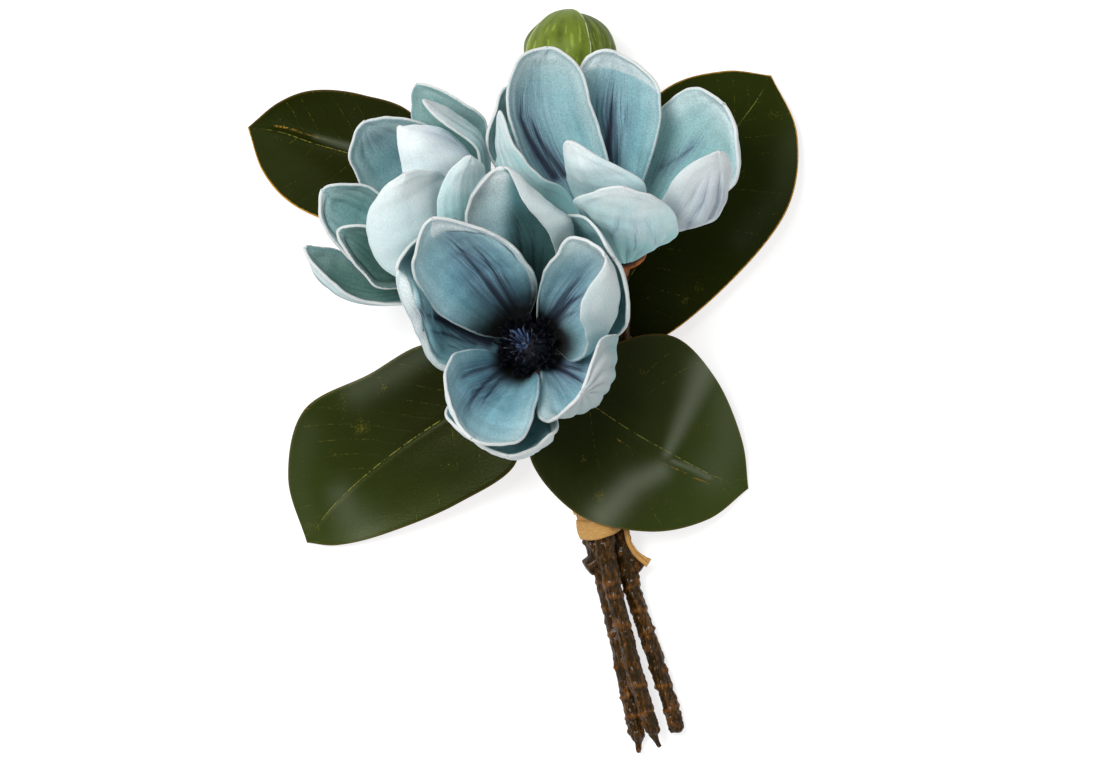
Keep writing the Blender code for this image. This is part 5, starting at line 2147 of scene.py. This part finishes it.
LEFT_BLOOM = Bloom("left", (-22, 48, 38), (-0.70, 0.57, 0.43), (
    (1.8, 6.2), (2.6, 9.0), (2.9, 12.5), (2.6, 16.0), (1.7, 18.6), (0.6, 19.6)), (
    StamenRing(5, 14.0, 1.3, 19.5, 0.35, 0.5),), (
    Petal("upper_inner", 0, 0, (
        ((-16.5, 76, 55), (-15.5, 75, 51), (-15.5, 74, 47)),
        ((-20, 98, 68), (-18, 101, 61), (-18, 102, 54)),
        ((-33, 107.5, 74), (-30, 111, 69), (-30, 113, 63))), (-42.5, 117.5, 74),
        tint=Tint(outer_teal=0.85, violet=0.3, dim=0.38)),
    Petal("upper_outer", 18, 2, (
        ((-15, 78, 38), (-17, 73, 33), (-22, 69, 30)),
        ((-15, 107, 50), (-23, 101, 41), (-34, 95, 35)),
        ((-27, 119, 58), (-37, 113, 48), (-47, 110, 42))), (-45, 125, 55),
        tint=Tint(0.40, 0.85, 0.35)),
    Petal("back_right", 64, 2, (
        ((-21, 72, 40), (-30, 66, 33), (-40, 59, 33)),
        ((-30, 98, 45), (-46, 84, 36), (-63, 75, 36)),
        ((-47, 110.5, 53), (-60, 98, 42), (-73, 95, 49))), (-67, 108.8, 54), (
        Streak(((-66, 104), (-58, 100), (-50, 94)), 2.0, 0.30, 7.0),),
        tint=Tint(0.60, 0.30, 0.50)),
    Petal("back", 103, 1, (
        ((-38, 60, 45), (-41, 53, 40), (-44, 45, 41)),
        ((-58, 78, 51), (-62, 66, 43), (-67, 47, 47)),
        ((-70, 83, 56), (-78, 74, 50), (-82, 62, 54))), (-85, 80.5, 58),
        tint=Tint(0.45, 0.65, 0.45), lip=-1.0),
    Petal("lower_inner", 150, 0, (
        ((-36, 55, 49), (-39, 49, 46), (-42, 41, 46)),
        ((-50, 64, 58), (-56, 53, 52), (-60, 39.5, 55)),
        ((-65, 66, 67), (-70, 60, 61), (-72.5, 51.5, 63))), (-77.5, 64, 68),
        tint=Tint(0.20, 0.80, 1.00), lip=-0.8),
    Petal("lowest", 185, 2, (
        ((-42, 45, 33), (-41, 39, 35), (-39, 34, 41)),
        ((-64, 48, 36), (-66, 37.5, 39), (-64, 33.3, 47)),
        ((-80, 56, 44), (-83, 45, 46), (-79, 40.4, 53))), (-91.5, 56.8, 54),
        tint=Tint(0.35, 0.90, 0.80), lip=-1.2),
    Petal("front", 245, 1, (
        ((-44, 40.5, 56), (-36, 50.5, 59), (-27, 60, 55)),
        ((-62.5, 52, 65), (-47, 61, 76), (-31, 70, 64)),
        ((-64.2, 72, 78), (-51, 78, 86), (-33, 86, 72))), (-50, 87.6, 92),
        tint=Tint(outer_teal=0.40, dim=0.15), veined=0.2),
    Petal("front_inner", 300, 0, (
        ((-34, 59, 50), (-27, 63, 51), (-21, 67, 46)),
        ((-46, 76, 64), (-34, 82, 67), (-18, 88, 54)),
        ((-53, 97, 76), (-42, 99, 78), (-33, 106, 65))), (-52.2, 107.6, 82), (
        Streak(((-46, 106), (-34, 103), (-20, 95)), 0.9, 0.45, 3.5, True),
        Streak(((-40, 101), (-29, 98), (-18, 92)), 0.7, 0.30, 3.0, True)),
        tint=Tint(outer_teal=0.08, violet=0.15, dim=0.0), veined=0.2, pointed=True),
    Petal("front_right", 320, 2, (
        ((-31, 57, 63), (-22, 58, 58), (-12, 56, 46)),
        ((-37, 68, 78), (-23, 73, 74), (-12, 72, 56)),
        ((-33, 86, 86), (-23, 86, 81), (-15, 86, 66))), (-22, 95, 83),
        tint=Tint(outer_teal=0.85, dim=0.12), veined=0.3),
))

# Leaf rows run from the edge on the clockwise side, over the midrib, to the other edge.
# The haze lines of each leaf are painted highlights, and a low light gives painted shade.
LEAVES = (
    Leaf("leaf_lower_left", (
        ((-12.0, -3.2, 13.4), (-11.4, -5.0, 13.2), (-10.8, -6.8, 13.4)),
        ((-38, 16, 20), (-30, -13, 15), (-3, -33, 18)),
        ((-66, 3, 16), (-50, -26, 12), (-28, -51, 13)),
        ((-92.5, -11.5, 12), (-69, -41, 7), (-58, -63.5, 7)),
        ((-99.2, -40, 8), (-83, -55, 4), (-78, -68.4, 3))), (-91.4, -67.4, 0.8),
        ((-6.35, -4.15, 11.8), (-8.3, -3.9, 12.8), (-11.4, -5.0, 13.2)),
        slant=(1.35, 0.8), light=0.9, haze=(
            Streak(((-77, -48), (-74, -56), (-68, -63)), 6.0, 0.32, 9.0),
            Streak(((-92, -20), (-97, -42), (-92, -60)), 6.0, 0.10, 7.0),
            Streak(((-42, 12), (-56, 4), (-70, -2)), 5.0, 0.30, 7.0)), flecks=(
            Streak(((-80, -12), (-70, -19)), 6.0, 1.0, 6.0),
            Streak(((-92, -31), (-82, -27)), 4.0, 0.7, 4.0))),
    Leaf("leaf_lower_right", (
        ((15.6, -3.0, 24.2), (16.4, -1.2, 24.0), (17.2, 0.6, 24.2)),
        ((2, -29, 23), (28, -9, 23), (40, 17, 27)),
        ((22, -55, 24), (46, -21, 21), (63, 19.3, 20)),
        ((52, -62.7, 18), (62, -30, 14), (80.8, 1.4, 14)),
        ((77, -57.8, 7), (78, -38.5, 6), (91.6, -23.8, 6))), (94.4, -44.6, 0.8),
        ((13.2, 0.5, 22.15), (14.5, 0.45, 23.6), (16.4, -1.2, 24.0)),
        slant=(1.0, 0.9), light=1.1, ridge=(-1.0, 0.35, 0.83), second=(6.2, 3.6), haze=(
            Streak(((76, 6), (70, -8), (60, -30)), 6.6, 0.85, 2.2),
            Streak(((57, -37), (45, -43), (33, -56)), 4.5, 0.85, 6.5),
            Streak(((86, -8), (86, -25), (80, -38)), 9.0, 0.25, 9.0),
            Streak(((62, -33), (70, -36), (78, -40)), 1.0, 0.80, 1.3)), flecks=(
            Streak(((26, -33), (30, -42), (34, -50)), 3.5, 0.9, 4.5),)),
    Leaf("leaf_right", (
        ((36.8, 26.5, 9.6), (35, 27.5, 9.3), (33.2, 28.5, 9.6)),
        ((53, 16.5, 10), (49, 51.5, 10), (22, 58, 11)),
        ((84, 39.5, 11), (68, 79, 12), (34, 94, 12)),
        ((110.4, 72, 10), (86, 103, 9), (58.5, 122.8, 10)),
        ((115, 104, 6), (97, 117.5, 5), (83.5, 131, 6))), (104, 129.2, 0.8),
        ((36.4, 12.4, 8.9), (35.6, 19, 9.0), (35.3, 26, 9.2)), (1.0, 0.55), 0.35, (1.1, 1.1),
        haze=(Streak(((112, 100), (108, 80), (92, 60)), 6.0, 0.10, 6.0),), flecks=(
            Streak(((88, 84), (92, 90), (98, 76)), 4.0, 0.8, 4.0),
            Streak(((64, 34), (74, 41)), 5.0, 1.0, 5.0))),
    Leaf("leaf_upper_left", (
        ((-32.4, 83, 15.6), (-33.2, 81, 15.2), (-34, 79, 15.6)),
        ((-46, 112, 17), (-49, 88, 16), (-46, 60, 17)),
        ((-68, 121, 15), (-69, 95, 14), (-72, 64.5, 13)),
        ((-88, 123, 10), (-88, 100.5, 9), (-96, 74, 9)),
        ((-103, 118, 5), (-103, 105.5, 4), (-109.5, 88, 5))), (-116.3, 107.3, 0.8),
        ((-22.2, 58.4, 14.5), (-25.5, 68, 15.0), (-29.5, 77, 15.2), (-34, 81.5, 15.2)),
        (0.10, 0.9), 0.20, (0.9, 0.9), (-1.0, 0.30, 0.85), (4.2, 2.0), (
            Streak(((-88, 103.5), (-80, 101), (-73, 99)), 0.8, 0.45, 1.6),), (
            Streak(((-74, 118), (-66, 114), (-58, 111)), 4.0, 1.1, 4.5),)),
)

# A route point is x, y, z and the radius there, from the cut end up to the bloom.
STEMS = (
    Stem("stem_left", (
        (48.3, -155.9, 3.0, 0.8), (48.2, -153.8, 3.2, 1.3), (48.0, -151.3, 3.4, 1.6),
        (47.7, -149.2, 3.7, 3.0), (47.2, -146, 3.9, 3.5), (45.6, -138, 4.1, 3.6),
        (43.4, -127, 4.2, 3.7), (40.2, -111, 4.4, 3.7), (36.6, -95, 4.8, 3.8), (32.9, -78, 5.8, 4.1),
        (29.2, -66, 6.5, 4.3), (27.2, -57, 6.6, 4.3), (20, -38, 6.6, 4.1), (11, -20, 6.4, 3.9),
        (3, -5, 7.0, 3.8), (0, 10, 9.0, 3.7), (-1.5, 23, 15, 3.6), (-4, 32, 24, 3.6),
        (-8.3, 36.8, 29.6, 3.6), (-13.5, 41.1, 32.8, 3.8)), (
        ((2, -5, 7.2, 2.2), (-2.2, -4.7, 9.6, 2.0), (-6.0, -4.2, 11.6, 1.8)),
        ((-1.3, 22, 14.5, 2.3), (-9, 33, 14.2, 2.0), (-16.5, 46, 14.0, 1.9), (-22, 58, 14.5, 1.8)),
        ((33.2, -72.7, 6.3, 4.4), (29.8, -75.7, 6.2, 4.3), (27.1, -77.6, 6.0, 3.7), (26.0, -78.4, 6.0, 2.9))),
        (-141, -131, -105, -94, -84)),
    Stem("stem_middle", (
        (57.2, -153.4, 9.0, 0.9), (55.9, -151.0, 9.4, 1.2), (54.7, -148.4, 9.8, 1.8),
        (54.3, -146.4, 10.2, 3.1), (53.2, -143.5, 10.5, 3.4), (50.6, -136, 11.2, 3.5),
        (46.7, -122.4, 12.0, 3.6), (43.0, -108, 12.3, 3.6), (39.9, -96.4, 12.6, 3.7),
        (36.9, -84.6, 13.0, 3.8),
        (34.6, -72, 13.6, 4.1), (33.5, -60, 13.9, 4.3), (31.6, -50, 13.9, 4.2), (26, -38, 13.8, 4.0),
        (17.4, -20, 13.4, 3.9), (10.5, -7, 14.6, 3.8), (7.2, 3, 16.6, 3.7), (5.6, 9.6, 20.5, 3.7),
        (5.0, 12.5, 24.6, 3.8), (4.33, 13.04, 30.0, 3.9)), (
        ((8.5, -1, 15.6, 2.3), (10.4, 0.6, 19, 2.0), (13.0, 0.5, 21.9, 1.8)),),
        (-138, -127, -102, -90, -85)),
    Stem("stem_right", (
        (64.7, -147.4, 3.5, 0.6), (64.6, -146.7, 3.6, 2.2), (64.1, -145.0, 3.7, 3.3), (61.7, -136, 3.9, 3.5),
        (58.6, -127, 4.0, 3.4), (55.5, -117.5, 4.2, 3.5), (51.8, -106, 4.4, 3.5), (48.5, -96, 4.8, 3.6),
        (45.5, -86, 5.3, 3.8), (43.2, -77, 5.9, 4.1), (41, -68, 6.5, 4.3), (39.6, -60, 6.6, 4.3),
        (39.2, -50, 6.6, 4.2),
        (40, -30, 7.0, 4.0), (41, -8, 8.5, 3.9), (41.5, 8, 13, 3.8), (41, 22, 20, 3.7),
        (40.4, 33, 27, 3.7), (40.0, 39.8, 31.1, 3.8), (39.6, 46.0, 35.2, 3.9)), (
        ((41, -9, 8.4, 2.3), (38.6, 1, 8.5, 2.0), (36.5, 12, 8.9, 1.8)),
        ((41.4, 9, 13.4, 2.6), (37, 22, 18, 2.2), (31, 42, 20.8, 2.1), (25, 66, 21.6, 2.1),
         (21.0, 88, 20.4, 2.1), (19.4, 103.65, 18.7, 2.1)),
        ((43.0, -73.6, 6.0, 4.0), (46.2, -76.3, 6.0, 3.9), (48.6, -78.2, 6.0, 3.3), (49.5, -78.9, 6.0, 2.6))),
        (-137, -128, -105, -95, -86)),
)


def main() -> None:
    """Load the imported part, build every piece over it, and set up the studio."""
    logging.basicConfig(level=logging.INFO, format="%(name)s: %(message)s")
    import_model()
    shop = Workshop()
    for part in (FRONT_BLOOM, RIGHT_BLOOM, LEFT_BLOOM, *LEAVES, *STEMS, Tie(STEMS), Bud(), Studio()):
        part.build(shop)
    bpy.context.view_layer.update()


if __name__ == "__main__":
    main()
